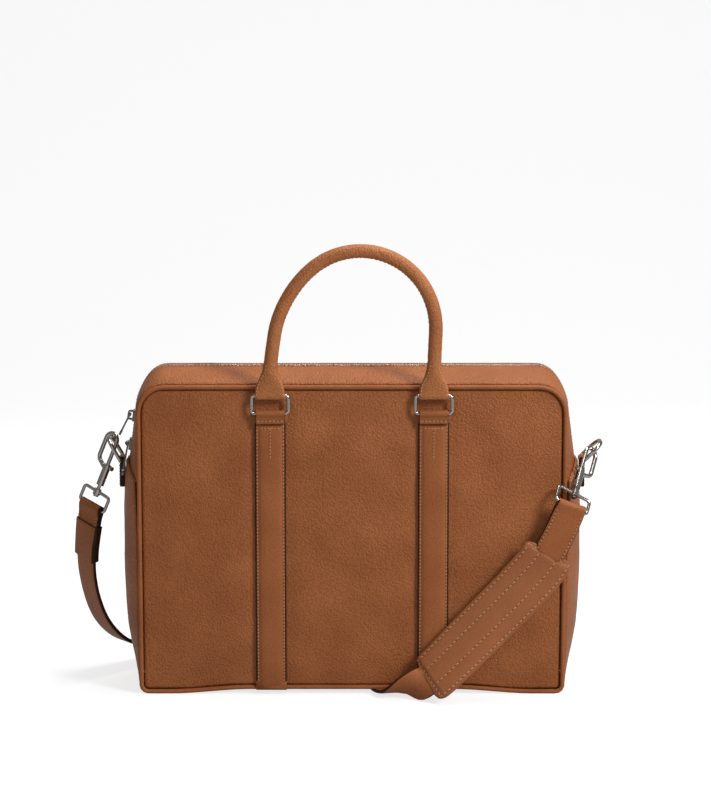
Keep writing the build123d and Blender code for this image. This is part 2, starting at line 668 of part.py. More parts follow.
def ribbon(path, start, end, width, thickness):
    """Flat strap between two shares of the path, ruled from section to section."""
    stops = sorted({start, end} | {s for s in PATH_STOPS if start < s < end})
    cuts = [section(path @ s, (path % s).normalized(), width, thickness) for s in stops]
    return loft(cuts, ruled=True)


route_points = [point for point, _ in ROUTE]
radii = strap_radii(route_points)
strap_path = Wire(FilletPolyline(*route_points, radius=radii).edges())
PATH_STOPS = []
done = 0.0
for edge in strap_path.edges():
    parts = 1 if edge.geom_type == GeomType.LINE else 3
    PATH_STOPS += [(done + edge.length * i / parts) / strap_path.length for i in range(parts + 1)]
    done += edge.length
print("strap radii", [round(r) for r in radii], "length", round(strap_path.length))


def share_at(index):
    """Share of the path's length beside a route point."""
    target = Vector(*route_points[index])
    steps = [i / 800 for i in range(801)]
    return min(steps, key=lambda s: (strap_path @ s - target).length)


def share_after(length):
    """Share of the path at a distance from its right end, or from its left end if negative."""
    return (length if length > 0 else strap_path.length + length) / strap_path.length


pad_start, pad_end = share_at(PAD_FROM), share_at(PAD_TO)
save(ribbon(strap_path, pad_start, pad_end, PAD_W, PAD_T), "shoulder_pad")

strap = ribbon(strap_path, pad_end, share_after(-LEFT_END), SHOULDER_W, SHOULDER_T)
save(strap, "shoulder_strap")
strap_run = (share_after(-LEFT_END) - pad_end) * strap_path.length
print("strap volume", round(strap.volume), "expected", round(strap_run * SHOULDER_W * SHOULDER_T))


def strap_end(side, start, end):
    """End of the strap, folded round its ring bar and sewn down double."""
    bar, along = RING_BAR[side]
    place = Plane(origin=bar, x_dir=(0, 0, 1), z_dir=along)
    roll = place.location * Cylinder(WIRE_R + FIT + 2.4, SHOULDER_W - 2)
    hole = place.location * Cylinder(WIRE_R + FIT, SHOULDER_W + 4)
    return roll + ribbon(strap_path, start, end, SHOULDER_W, END_T) - hole


save(strap_end("right", share_after(2.5), pad_start), "strap_end_right")
save(strap_end("left", share_after(-LEFT_END), share_after(-2.5)), "strap_end_left")

keeper_run = (strap_path, share_after(-LEFT_END + 2), share_after(-LEFT_END + 2 + KEEPER))
keeper = ribbon(*keeper_run, SHOULDER_W + 3.2, END_T + 3.2)
save(keeper - ribbon(*keeper_run, SHOULDER_W + 0.2, END_T + 0.2), "strap_keeper")
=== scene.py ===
import json
import math

import bmesh
import bpy
import numpy as np
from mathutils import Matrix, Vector, noise

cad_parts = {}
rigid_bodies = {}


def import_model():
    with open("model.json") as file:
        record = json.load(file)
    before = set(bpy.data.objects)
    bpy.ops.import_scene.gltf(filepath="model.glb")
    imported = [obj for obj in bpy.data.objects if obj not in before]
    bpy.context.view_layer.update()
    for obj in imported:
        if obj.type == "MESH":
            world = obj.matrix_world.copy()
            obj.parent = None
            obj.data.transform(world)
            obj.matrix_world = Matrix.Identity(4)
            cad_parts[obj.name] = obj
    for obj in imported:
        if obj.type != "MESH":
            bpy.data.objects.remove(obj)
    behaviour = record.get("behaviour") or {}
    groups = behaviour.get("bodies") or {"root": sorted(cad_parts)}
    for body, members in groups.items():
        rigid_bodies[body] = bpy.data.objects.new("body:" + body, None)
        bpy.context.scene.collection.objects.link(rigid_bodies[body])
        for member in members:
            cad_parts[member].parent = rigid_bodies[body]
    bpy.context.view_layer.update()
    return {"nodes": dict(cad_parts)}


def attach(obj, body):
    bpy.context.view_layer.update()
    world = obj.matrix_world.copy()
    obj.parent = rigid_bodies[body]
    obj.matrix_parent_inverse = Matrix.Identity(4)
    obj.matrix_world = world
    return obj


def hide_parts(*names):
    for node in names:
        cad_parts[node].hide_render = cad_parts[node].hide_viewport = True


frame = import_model()
MM = 0.001

# Sizes in millimetres, the same as the CAD model's.
HALF_W, HALF_D, HEIGHT, TOP_R, FOOT_R = 188.0, 45.0, 276.0, 25.0, 8.0
ARCH, ARCH_IN, ARCH_OUT, CROWN, PANEL_Y, PIPE_R, SEAM_Y = 4.0, 100.0, 150.0, 6.0, 44.0, 2.0, 43.0
STRAP_X, STRAP_TOP = 71.0, 243.0
RING_Y, RING_LOW_Z, UPPER_BAR_Z, LEG_TOP_Z = 51.6, 252.0, 267.5, 323.0
HANDLE_LEAN, RING_FOLD = 2.5, 35.0
ZIP_LOW_Z, CORNER_Z = 193.0, 251.0
DRING_X, DRING_Z = 204.6, 203.0

# ------------------------------------------------------------------ camera and lights

scene = bpy.context.scene
scene.view_settings.view_transform = "Standard"


def add_object(name, data):
    obj = bpy.data.objects.new(name, data)
    scene.collection.objects.link(obj)
    return obj


def aim(obj, place, target):
    obj.location = place
    obj.rotation_euler = (Vector(target) - Vector(place)).to_track_quat("-Z", "Y").to_euler()


camera_data = bpy.data.cameras.new("camera")
camera_data.sensor_width = 36.0
camera_data.sensor_fit = "HORIZONTAL"
camera_data.lens = 125.6
camera_data.clip_end = 30
camera = add_object("camera", camera_data)
TARGET = (0.0031, 0.0, 0.2558)
ELEVATION = math.radians(9)
AWAY = 2.2
aim(camera, (TARGET[0], -AWAY * math.cos(ELEVATION), TARGET[2] + AWAY * math.sin(ELEVATION)), TARGET)
scene.camera = camera


def lamp(name, place, target, size, energy, colour=(1, 1, 1)):
    data = bpy.data.lights.new(name, "AREA")
    data.shape = "RECTANGLE"
    data.size, data.size_y = size
    data.energy = energy
    data.color = colour
    aim(add_object(name, data), place, target)


lamp("key", (1.5, -1.3, 1.5), (0.05, 0, 0.15), (0.5, 0.8), 38)
lamp("fill", (-0.9, -2.2, 0.8), (0, 0, 0.2), (1.0, 1.0), 2.8)
lamp("top", (0.3, 0.2, 1.7), (0, 0, 0.2), (1.0, 0.6), 20)

# ------------------------------------------------------------------ shader helpers


def new_material(name):
    mat = bpy.data.materials.new(name)
    mat.use_nodes = True
    nodes, links = mat.node_tree.nodes, mat.node_tree.links
    return mat, nodes, links, nodes["Principled BSDF"]


def textured(nodes, links, kind, scale, **inputs):
    """Texture node on object coordinates, which are metres in the shared frame."""
    coords = nodes.new("ShaderNodeTexCoord")
    tex = nodes.new(kind)
    links.new(coords.outputs["Object"], tex.inputs["Vector"])
    tex.inputs["Scale"].default_value = scale
    for key, value in inputs.items():
        tex.inputs[key.replace("_", " ")].default_value = value
    return tex


def ramp(nodes, links, source, stops):
    node = nodes.new("ShaderNodeValToRGB")
    links.new(source, node.inputs["Fac"])
    elements = node.color_ramp.elements
    while len(elements) < len(stops):
        elements.new(0.5)
    for element, (place, colour) in zip(elements, stops):
        element.position = place
        element.color = (*colour, 1)
    return node


def bump(nodes, links, height, strength, distance, before=None):
    node = nodes.new("ShaderNodeBump")
    node.inputs["Strength"].default_value = strength
    node.inputs["Distance"].default_value = distance
    links.new(height, node.inputs["Height"])
    if before is not None:
        links.new(before.outputs["Normal"], node.inputs["Normal"])
    return node


def leather(name, dark, light, pebble, depth, rough):
    """Grained leather: cloudy colour, pebbles with painted shade in the hollows between them so that their
    tops look paler, and a soft sheen.
    """
    mat, nodes, links, bsdf = new_material(name)
    cloud = textured(nodes, links, "ShaderNodeTexNoise", 22, Detail=4.0)
    cells = textured(nodes, links, "ShaderNodeTexVoronoi", pebble, Randomness=0.95)
    cells.feature = "SMOOTH_F1"
    cells.inputs["Smoothness"].default_value = 0.35
    fine = textured(nodes, links, "ShaderNodeTexNoise", pebble * 2.6, Detail=3.0)
    tone = ramp(nodes, links, cloud.outputs["Fac"], [(0.32, dark), (0.68, light)])
    # Painted shade: the colour is darkened towards the rim of each pebble, in the hollows where shade falls;
    # the same pattern also bumps the surface.
    pit_shade_and_relief = ramp(nodes, links, cells.outputs["Distance"], [(0.1, (1, 1, 1)), (0.75, (0.74, 0.7, 0.68))])
    mix = nodes.new("ShaderNodeMix")
    mix.data_type = "RGBA"
    mix.blend_type = "MULTIPLY"
    mix.inputs["Factor"].default_value = 0.8
    links.new(tone.outputs["Color"], mix.inputs["A"])
    links.new(pit_shade_and_relief.outputs["Color"], mix.inputs["B"])
    links.new(mix.outputs["Result"], bsdf.inputs["Base Color"])
    low = bump(nodes, links, fine.outputs["Fac"], 0.35, depth * 0.5)
    top = bump(nodes, links, pit_shade_and_relief.outputs["Color"], 0.9, depth, low)
    links.new(top.outputs["Normal"], bsdf.inputs["Normal"])
    gloss = ramp(nodes, links, fine.outputs["Fac"], [(0.3, (rough - 0.07,) * 3), (0.7, (rough + 0.08,) * 3)])
    links.new(gloss.outputs["Color"], bsdf.inputs["Roughness"])
    bsdf.inputs["Specular IOR Level"].default_value = 0.2
    return mat


def metal(name, colour, rough):
    """Polished metal with faint wiping marks."""
    mat, nodes, links, bsdf = new_material(name)
    marks = textured(nodes, links, "ShaderNodeTexNoise", 900, Detail=2.0)
    gloss = ramp(nodes, links, marks.outputs["Fac"], [(0.35, (rough,) * 3), (0.75, (rough + 0.1,) * 3)])
    tone = ramp(nodes, links, marks.outputs["Fac"], [(0.3, colour), (0.8, tuple(c * 0.9 for c in colour))])
    links.new(gloss.outputs["Color"], bsdf.inputs["Roughness"])
    links.new(tone.outputs["Color"], bsdf.inputs["Base Color"])
    bsdf.inputs["Metallic"].default_value = 1.0
    return mat


def woven(name, dark, light, scale):
    """Plain woven cloth."""
    mat, nodes, links, bsdf = new_material(name)
    warp = textured(nodes, links, "ShaderNodeTexWave", scale, Distortion=0.4)
    weft = textured(nodes, links, "ShaderNodeTexWave", scale, Distortion=0.4)
    weft.bands_direction = "Z"
    both = nodes.new("ShaderNodeMath")
    both.operation = "MULTIPLY"
    links.new(warp.outputs["Fac"], both.inputs[0])
    links.new(weft.outputs["Fac"], both.inputs[1])
    tone = ramp(nodes, links, both.outputs["Value"], [(0.1, dark), (0.8, light)])
    links.new(tone.outputs["Color"], bsdf.inputs["Base Color"])
    raised = bump(nodes, links, both.outputs["Value"], 0.6, 0.0003)
    links.new(raised.outputs["Normal"], bsdf.inputs["Normal"])
    bsdf.inputs["Roughness"].default_value = 0.85
    return mat


def plain(name, dark, light, scale, rough):
    """Matt material with a fine mottled surface, such as edge paint, thread or board."""
    mat, nodes, links, bsdf = new_material(name)
    grain = textured(nodes, links, "ShaderNodeTexNoise", scale, Detail=3.0)
    tone = ramp(nodes, links, grain.outputs["Fac"], [(0.35, dark), (0.65, light)])
    links.new(tone.outputs["Color"], bsdf.inputs["Base Color"])
    raised = bump(nodes, links, grain.outputs["Fac"], 0.3, 0.0002)
    links.new(raised.outputs["Normal"], bsdf.inputs["Normal"])
    bsdf.inputs["Roughness"].default_value = rough
    bsdf.inputs["Specular IOR Level"].default_value = 0.15
    return mat


# Painted light: the handles' leather is a paler copy of the grained leather, for the light falling on the
# handles.
LIT_HANDLE_LEATHER = leather("handle_leather_painted_light", (0.42, 0.145, 0.05), (0.52, 0.195, 0.068), 620, 0.0016, 0.38)
GRAIN = leather("grained_leather", (0.33, 0.103, 0.031), (0.42, 0.142, 0.046), 560, 0.0018, 0.38)
SMOOTH = leather("smooth_leather", (0.33, 0.104, 0.032), (0.40, 0.134, 0.044), 900, 0.0008, 0.4)
PAD_LEATHER = leather("pad_leather", (0.33, 0.11, 0.042), (0.39, 0.138, 0.052), 900, 0.0005, 0.46)
# Near-black edge paint of the cut leather edges; the same material also paints the shade in the needle holes.
EDGE_PAINT_AND_HOLE_SHADE = plain("edge_paint_and_hole_shade", (0.025, 0.01, 0.006), (0.05, 0.02, 0.01), 600, 0.45)
THREAD = plain("thread", (0.52, 0.26, 0.12), (0.64, 0.36, 0.19), 4000, 0.6)
SILVER = metal("polished_nickel", (0.5, 0.475, 0.44), 0.1)
DARK_METAL = metal("dark_nickel", (0.2, 0.185, 0.17), 0.16)
TEETH = metal("zip_teeth_metal", (0.66, 0.62, 0.56), 0.22)
TAPE = woven("zip_tape_cloth", (0.05, 0.022, 0.012), (0.11, 0.05, 0.025), 1500)
LINING = woven("lining_cloth", (0.1, 0.055, 0.03), (0.19, 0.11, 0.06), 900)
FOAM = plain("foam", (0.55, 0.52, 0.46), (0.68, 0.65, 0.58), 1500, 0.9)
BOARD = plain("board", (0.03, 0.028, 0.025), (0.06, 0.055, 0.05), 900, 0.7)

# ------------------------------------------------------------------ mesh helpers


def make_piece(name, verts, faces, materials, body="root", face_mats=None, replaces=()):
    """Mesh piece from millimetre points, riding on a body."""
    mesh = bpy.data.meshes.new(name)
    mesh.from_pydata((np.asarray(verts, float) * MM).tolist(), [], faces)
    for mat in materials:
        mesh.materials.append(mat)
    if face_mats is not None:
        mesh.polygons.foreach_set("material_index", face_mats)
    work = bmesh.new()
    work.from_mesh(mesh)
    bmesh.ops.recalc_face_normals(work, faces=work.faces)
    work.to_mesh(mesh)
    work.free()
    mesh.polygons.foreach_set("use_smooth", [True] * len(mesh.polygons))
    obj = add_object(name, mesh)
    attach(obj, body)
    if replaces:
        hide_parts(*replaces)
    return obj


def tube(rings, closed=False):
    """Vertices and faces of a skin over closed rings, capped at both ends unless the run is closed."""
    count, around = len(rings), len(rings[0])
    verts = np.concatenate([np.asarray(r, float) for r in rings])
    faces = []
    for i in range(count if closed else count - 1):
        a, b = i * around, ((i + 1) % count) * around
        faces += [(a + j, a + (j + 1) % around, b + (j + 1) % around, b + j) for j in range(around)]
    if not closed:
        faces.append(tuple(range(around)))
        faces.append(tuple((count - 1) * around + j for j in range(around)))
    return verts, faces


def joined(parts):
    """Several (vertices, faces) lists as one."""
    verts, faces, start = [], [], 0
    for part_verts, part_faces in parts:
        verts.append(np.asarray(part_verts, float))
        faces += [tuple(start + i for i in face) for face in part_faces]
        start += len(part_verts)
    return np.concatenate(verts), faces


def rows(points, step):
    """Points evenly spaced along a polyline, and the unit tangent at each."""
    points = np.asarray(points, float)
    gaps = np.linalg.norm(np.diff(points, axis=0), axis=1)
    along = np.concatenate([[0], np.cumsum(gaps)])
    stops = np.linspace(0, along[-1], max(2, int(round(along[-1] / step)) + 1))
    even = np.stack([np.interp(stops, along, points[:, k]) for k in range(points.shape[1])], axis=1)
    tangent = np.gradient(even, axis=0)
    return even, tangent / np.linalg.norm(tangent, axis=1)[:, None]


STITCH_STATIONS = ((-0.5, 0.4, -0.7), (-0.3, 0.9, 0.15), (0, 1.0, 0.4), (0.3, 0.9, 0.15), (0.5, 0.4, -0.7))
STITCH = []
for along, size, lift in STITCH_STATIONS:
    for k in range(6):
        turn = math.radians(60 * k)
        STITCH.append((along, size * math.cos(turn), size * math.sin(turn) + lift))
STITCH = np.array(STITCH)
STITCH_FACES = tube([STITCH[6 * i:6 * i + 6] for i in range(5)])[1]
HOLE_SHADES = []


def stitches(points, normals, pitch, radius=0.38, slant=0.16):
    """One row of stitches lying on a surface along a polyline, with a near-black blob of painted shade for
    the needle hole between each two.
    """
    length = pitch * 0.72
    points, normals = np.asarray(points, float), np.asarray(normals, float)
    if normals.ndim == 1:
        normals = np.tile(normals, (len(points), 1))
    both, _ = rows(np.hstack([points, normals * 1e-6]), pitch)
    middle, up = both[:, :3], both[:, 3:]
    up = up / np.linalg.norm(up, axis=1)[:, None]
    tangent = np.gradient(middle, axis=0)
    tangent /= np.linalg.norm(tangent, axis=1)[:, None]
    up = up - tangent * np.sum(up * tangent, axis=1)[:, None]
    up /= np.linalg.norm(up, axis=1)[:, None]
    side = np.cross(tangent, up)
    tangent = tangent * math.cos(slant) + side * math.sin(slant)
    side = np.cross(tangent, up)
    parts = []
    for k, (place, t, n, s) in enumerate(zip(middle, tangent, up, side)):
        shape = (
            place + np.outer(STITCH[:, 0] * length, t) + np.outer(STITCH[:, 1] * radius, s)
            + np.outer(STITCH[:, 2] * radius, n)
        )
        parts.append((shape, STITCH_FACES))
        if k + 1 < len(middle):
            # Painted shade: a near-black blob, sunk a little into the surface, stands for the shade in the
            # needle hole.
            hole_shade = (place + middle[k + 1]) / 2 - n * 0.12
            HOLE_SHADES.append((
                hole_shade + np.outer(STITCH[:, 0] * pitch * 0.34, t) + np.outer(STITCH[:, 1] * 0.42, s)
                + np.outer(STITCH[:, 2] * 0.3, n), STITCH_FACES
            ))
    return joined(parts)


def wobble(point, size, scale):
    """Smooth unevenness of soft leather at a place, in millimetres."""
    return size * noise.noise(Vector((point[0] * scale, point[1] * scale, point[2] * scale)))


def smooth(value):
    value = min(max(value, 0.0), 1.0)
    return value * value * (3 - 2 * value)


def bell(distance, width):
    return math.exp(-((distance / width) ** 2))


def flip_y(points):
    return np.asarray(points, float) * (1, -1, 1)


def flip_x(points):
    return np.asarray(points, float) * (-1, 1, 1)


def turned(points, y, z, degrees):
    """Points turned about a bar along X."""
    points = np.asarray(points, float).copy()
    turn = math.radians(degrees)
    dy, dz = points[:, 1] - y, points[:, 2] - z
    points[:, 1] = y + dy * math.cos(turn) - dz * math.sin(turn)
    points[:, 2] = z + dy * math.sin(turn) + dz * math.cos(turn)
    return points


def rounded(points, radii):
    """Closed outline in X and Z with round corners, as dense points."""
    out = []
    count = len(points)
    for i in range(count):
        here = np.array(points[i], float)
        first = np.array(points[i - 1], float) - here
        second = np.array(points[(i + 1) % count], float) - here
        first /= np.linalg.norm(first)
        second /= np.linalg.norm(second)
        half = math.acos(max(-1, min(1, float(first @ second)))) / 2
        reach = radii[i] / math.tan(half)
        middle = here + (first + second) / np.linalg.norm(first + second) * radii[i] / math.sin(half)
        start, end = here + first * reach - middle, here + second * reach - middle
        turn = math.acos(max(-1, min(1, float(start @ end) / radii[i] ** 2)))
        steps = 8
        for k in range(steps + 1):
            a = k / steps
            swept = start * math.sin((1 - a) * turn) + end * math.sin(a * turn)
            out.append(middle + swept / math.sin(turn))
    return np.array(out)


def outline(inset):
    """Front outline moved in by inset."""
    w = HALF_W - inset
    points = [
        (-w, inset), (-ARCH_OUT, inset), (-ARCH_IN, inset + ARCH), (ARCH_IN, inset + ARCH),
        (ARCH_OUT, inset), (w, inset), (w, HEIGHT - inset), (-w, HEIGHT - inset),
    ]
    foot, top = FOOT_R - inset, TOP_R - inset
    return rounded(points, [foot, 300, 300, 300, 300, foot, top, top])

# ------------------------------------------------------------------ shoulder strap

ROUTE = [
    ((190.3, -58.9, 171.4), (0.845, 0.15, -0.50)),
    ((175.0, -60.0, 131.0), (0.84, -0.05, -0.54)),
    ((149.0, -60.5, 100.0), (0.78, -0.20, -0.59)),
    ((117.0, -64.0, 68.0), (0.75, -0.30, -0.59)),
    ((89.0, -68.5, 40.0), (0.72, -0.44, -0.50)),
    ((66.0, -71.5, 17.5), (0.70, -0.55, -0.42)),
    ((50.0, -66.5, 11.5), (0.62, 0.10, -0.50)),
    ((37.0, -57.5, 4.4), (0.80, 0.56, -0.10)),
    ((28.0, -30.0, 1.8), (0.96, 0.26, 0.0)),
    ((24.0, 20.0, 1.8), (0.99, 0.05, 0.0)),
    ((25.0, 66.0, 1.8), (0.98, 0.05, 0.0)),
    ((36.0, 110.0, 12.8), (0.74, -0.20, 0.60)),
    ((58.0, 152.0, 15.8), (0.0, 0.0, 1.0)),
    ((64.0, 202.0, 14.8), (0.0, 0.0, 1.0)),
    ((36.0, 243.0, 14.8), (0.0, 0.0, 1.0)),
    ((-12.0, 257.0, 14.8), (0.0, 0.0, 1.0)),
    ((-60.0, 238.0, 14.8), (0.0, 0.0, 1.0)),
    ((-86.0, 194.0, 15.0), (0.0, -0.1, 1.0)),
    ((-110.0, 146.0, 14.0), (0.30, -0.45, 0.75)),
    ((-140.0, 106.0, 13.0), (0.55, -0.70, 0.35)),
    ((-174.0, 78.0, 14.0), (0.60, -0.76, 0.10)),
    ((-206.0, 51.0, 20.0), (0.62, -0.78, 0.0)),
    ((-228.0, 33.0, 44.0), (0.60, -0.80, 0.0)),
    ((-238.5, 22.0, 80.0), (0.58, -0.80, -0.08)),
    ((-240.5, 14.0, 118.0), (0.60, -0.75, -0.20)),
    ((-233.2, 6.9, 159.0), (0.674, -0.615, -0.41)),
]
SPANS = len(ROUTE) - 2
curve = bpy.data.curves.new("strap_route", "CURVE")
curve.dimensions = "3D"
spline = curve.splines.new("NURBS")
spline.points.add(len(ROUTE) - 1)
for control, (place, _) in zip(spline.points, ROUTE):
    control.co = (place[0] * MM, place[1] * MM, place[2] * MM, 1)
spline.order_u = 3
spline.use_endpoint_u = True
spline.resolution_u = 16
guide = add_object("strap_route", curve)
line = bpy.data.meshes.new_from_object(guide)
STRAP_LINE = np.array([v.co[:] for v in line.vertices]) / MM
bpy.data.objects.remove(guide)
if np.linalg.norm(STRAP_LINE[0] - ROUTE[0][0]) > 1:
    STRAP_LINE = STRAP_LINE[::-1]
gaps = np.linalg.norm(np.diff(STRAP_LINE, axis=0), axis=1)
STRAP_AT = np.concatenate([[0], np.cumsum(gaps)])
STRAP_LENGTH = float(STRAP_AT[-1])
share = np.linspace(0, SPANS, len(STRAP_LINE))
place_in_route = share + np.minimum(share, 0.5) + np.maximum(0, share - (SPANS - 0.5))
WIDTHS = np.array([side for _, side in ROUTE], float)
STRAP_SIDE = np.stack(
    [np.interp(place_in_route, range(len(ROUTE)), WIDTHS[:, k]) for k in range(3)], axis=1
)


def strap_frame(at):
    """Middle, tangent, width direction and face direction of the strap at a distance along it."""
    inside = min(max(at, 0.0), STRAP_LENGTH)
    point = np.array([np.interp(inside, STRAP_AT, STRAP_LINE[:, k]) for k in range(3)])
    ahead = np.array([np.interp(min(inside + 2, STRAP_LENGTH), STRAP_AT, STRAP_LINE[:, k]) for k in range(3)])
    behind = np.array([np.interp(max(inside - 2, 0), STRAP_AT, STRAP_LINE[:, k]) for k in range(3)])
    tangent = (ahead - behind) / np.linalg.norm(ahead - behind)
    side = np.array([np.interp(inside, STRAP_AT, STRAP_SIDE[:, k]) for k in range(3)])
    side = side - tangent * (side @ tangent)
    side /= -np.linalg.norm(side)
    return point + tangent * (at - inside), tangent, side, np.cross(side, tangent)


def strap_skin(start, end, step, shape):
    """Skin along the strap: shape(distance) gives the section as (across, through) points."""
    count = max(3, int(round((end - start) / step)) + 1)
    rings = []
    for at in np.linspace(start, end, count):
        point, _, side, face = strap_frame(at)
        rings.append([point + side * a + face * b for a, b in shape(at)])
    return tube(rings)


def band_section(width, thick, round_off=0.5):
    """Flat section with slightly rounded long edges; the last segments are the cut edges."""
    w, t, r = width / 2, thick / 2, round_off
    top = [(-w + r, t), (-w * 0.6, t * 1.02), (0, t * 1.03), (w * 0.6, t * 1.02), (w - r, t)]
    right = [(w - r * 0.2, t * 0.6), (w, 0), (w - r * 0.2, -t * 0.6)]
    bottom = [(w - r, -t), (w * 0.6, -t * 1.02), (0, -t * 1.03), (-w * 0.6, -t * 1.02), (-w + r, -t)]
    left = [(-w + r * 0.2, -t * 0.6), (-w, 0), (-w + r * 0.2, t * 0.6)]
    return top + right + bottom + left


EDGE_SEGMENTS = {4, 5, 6, 7, 12, 13, 14, 15}


def section_mats(count, around, edge, caps=1):
    """Material index of each face of a tube whose segments in edge are cut edges."""
    return [1 if j in edge else 0 for _ in range(count - 1) for j in range(around)] + [caps, caps]


def strap_piece(name, start, end, step, shape, materials, replaces, caps=1):
    verts, faces = strap_skin(start, end, step, shape)
    around = len(shape(start))
    count = len(verts) // around
    return make_piece(
        name, verts, faces, materials, "root", section_mats(count, around, EDGE_SEGMENTS, caps),
        replaces
    )


def nearest_at(point):
    return float(STRAP_AT[np.argmin(np.linalg.norm(STRAP_LINE - np.array(point), axis=1))])


strap = strap_piece(
    "shoulder_strap_leather", 0, STRAP_LENGTH, 4, lambda at: band_section(28, 3),
    [SMOOTH, EDGE_PAINT_AND_HOLE_SHADE], ["shoulder_strap"]
)
PAD_START, PAD_END = nearest_at(ROUTE[1][0]), nearest_at(ROUTE[5][0])
LEFT_END = STRAP_LENGTH - 52


PAD_HALF_W, PAD_CORNER = 23.0, 7.0
PAD_OUTER_ROW, PAD_INNER_ROW = 19.8, 8.0


def pad_half_width(at):
    """Half width of the pad: round corners at both ends."""
    edge = min(at - PAD_START, PAD_END - at)
    if edge >= PAD_CORNER:
        return PAD_HALF_W
    return PAD_HALF_W - PAD_CORNER + math.sqrt(max(PAD_CORNER ** 2 - (PAD_CORNER - edge) ** 2, 0))


def pad_section(at):
    """Puffed pad: thin at its rim, sunk along the rows of stitches."""
    w = pad_half_width(at)
    edge = min(at - PAD_START, PAD_END - at)
    full = smooth((edge + 1.5) / 9)
    across = [-1, -0.985, -0.93, -0.87, -0.82, -0.7, -0.5, -0.4, -0.35, -0.3, -0.15, 0]
    across += [-a for a in reversed(across[:-1])]
    outer, inner = [], []
    for a in across:
        x = a * w
        rim = math.sqrt(max(1 - abs(a) ** 7, 0))
        sunk = 0.75 * bell(abs(x) - PAD_OUTER_ROW, 1.1) + 0.7 * bell(abs(x) - PAD_INNER_ROW, 1.3)
        sunk += 0.75 * bell(edge - 3.2, 1.1) if abs(x) < 20 else 0
        puff = (1.2 + 2.1 * full) * rim - sunk * min(1, rim * 1.2)
        outer.append((x, puff + 0.3))
        inner.append((x, -(1.0 + 1.3 * full) * rim - 0.2))
    return outer + inner[::-1]


pad_verts, pad_faces = strap_skin(PAD_START, PAD_END, 1.2, pad_section)
pad = make_piece(
    "shoulder_pad_leather", pad_verts, pad_faces, [PAD_LEATHER],
    replaces=["shoulder_pad"]
)


def strap_line(start, end, across, height):
    """Polyline on the strap's outer face, with its normals."""
    points, normals = [], []
    for at in np.linspace(start, end, max(3, int((end - start) / 3))):
        point, _, side, face = strap_frame(at)
        lift = height(at, across) if callable(height) else height
        points.append(point + side * across + face * lift)
        normals.append(face)
    return points, normals


def pad_height(at, across):
    points = [p for p in pad_section(at) if p[1] > 0]
    xs = [p[0] for p in points]
    return float(np.interp(across, xs, [p[1] for p in points]))


strap_stitches = []
for across in (-PAD_OUTER_ROW, -PAD_INNER_ROW, PAD_INNER_ROW, PAD_OUTER_ROW):
    row = strap_line(PAD_START + 3.4, PAD_END - 3.4, across, pad_height)
    strap_stitches.append(stitches(*row, 4.6, radius=0.42))
for at in (PAD_START + 3.3, PAD_END - 3.3):
    point, _, side, face = strap_frame(at)
    points = [point + side * a + face * pad_height(at, a) for a in np.linspace(-17, 17, 12)]
    strap_stitches.append(stitches(points, face, 4.4, radius=0.42))


def end_section(from_bar, far, width=28.0, thick=5.2):
    """Doubled end of the strap, swelling round the ring bar."""
    def shape(at):
        d = from_bar(at)
        if d < 0:
            t = 2 * math.sqrt(max(3.95 ** 2 - d * d, 0.02))
        else:
            t = thick + (7.9 - thick) * (1 - smooth(d / 9))
        w = width - 2.0 * (1 - smooth((d + 2) / 8))
        w -= 5.5 * (1 - smooth((far - d) / 7))
        return band_section(w, t, 0.7)
    return shape


RIGHT_FAR = PAD_START + 5
strap_piece(
    "strap_end_right_leather", -3.9, RIGHT_FAR, 1.6, end_section(lambda at: at, RIGHT_FAR), [SMOOTH, EDGE_PAINT_AND_HOLE_SHADE],
    ["strap_end_right"]
)
strap_piece(
    "strap_end_left_leather", LEFT_END, STRAP_LENGTH + 3.9, 1.6,
    end_section(lambda at: STRAP_LENGTH - at, 56), [SMOOTH, EDGE_PAINT_AND_HOLE_SHADE], ["strap_end_left"]
)
strap_piece(
    "strap_keeper_leather", LEFT_END + 2, LEFT_END + 36, 2, lambda at: band_section(31.0, 8.0, 1.6),
    [SMOOTH, EDGE_PAINT_AND_HOLE_SHADE], ["strap_keeper"]
)
for across in (-11.4, 11.4):
    strap_stitches.append(stitches(*strap_line(7, RIGHT_FAR - 3, across, 2.75), 3.4))
    points, normals = strap_line(LEFT_END + 38, STRAP_LENGTH - 8, across, -2.75)
    strap_stitches.append(stitches(points, [-n for n in normals], 3.4))
stitch_verts, stitch_faces = joined(strap_stitches)
make_piece("shoulder_strap_stitching", stitch_verts, stitch_faces, [THREAD])
# Painted shade of the needle holes along the strap's stitching.
hole_shade_verts, hole_shade_faces = joined(HOLE_SHADES)
make_piece("shoulder_strap_needle_hole_shade", hole_shade_verts, hole_shade_faces, [EDGE_PAINT_AND_HOLE_SHADE])
HOLE_SHADES.clear()

# ------------------------------------------------------------------ front and back panels


def crown(x, z):
    u = min(abs(x) / HALF_W, 1.0)
    v = min(abs(z - HEIGHT / 2) / (HEIGHT / 2), 1.0)
    return CROWN * (1 - u ** 4) * (1 - v ** 4)


def front_dents(x, z):
    """Soft hollows and swells of the front leather, positive outward."""
    out = 1.9 * bell(x - 12, 44) * bell(z - 208, 22)
    out -= 2.2 * bell(x - 2, 46) * bell(z - 246, 13)
    out -= 0.9 * bell(x + 130, 40) * bell(z - 225, 30)
    out += 0.8 * bell(x + 118, 34) * bell(z - 120, 60)
    out -= 1.0 * bell(x - 135, 26) * bell(z - 150, 70)
    for strap_x in (-STRAP_X, STRAP_X):
        out -= 0.9 * bell(abs(x - strap_x) - 15, 5)
    return out


def back_dents(x, z):
    out = -1.2 * bell(x, 60) * bell(z - 150, 50) + 0.7 * bell(x - 120, 40) * bell(z - 90, 50)
    for strap_x in (-STRAP_X, STRAP_X):
        out -= 0.9 * bell(abs(x - strap_x) - 15, 5)
    return out


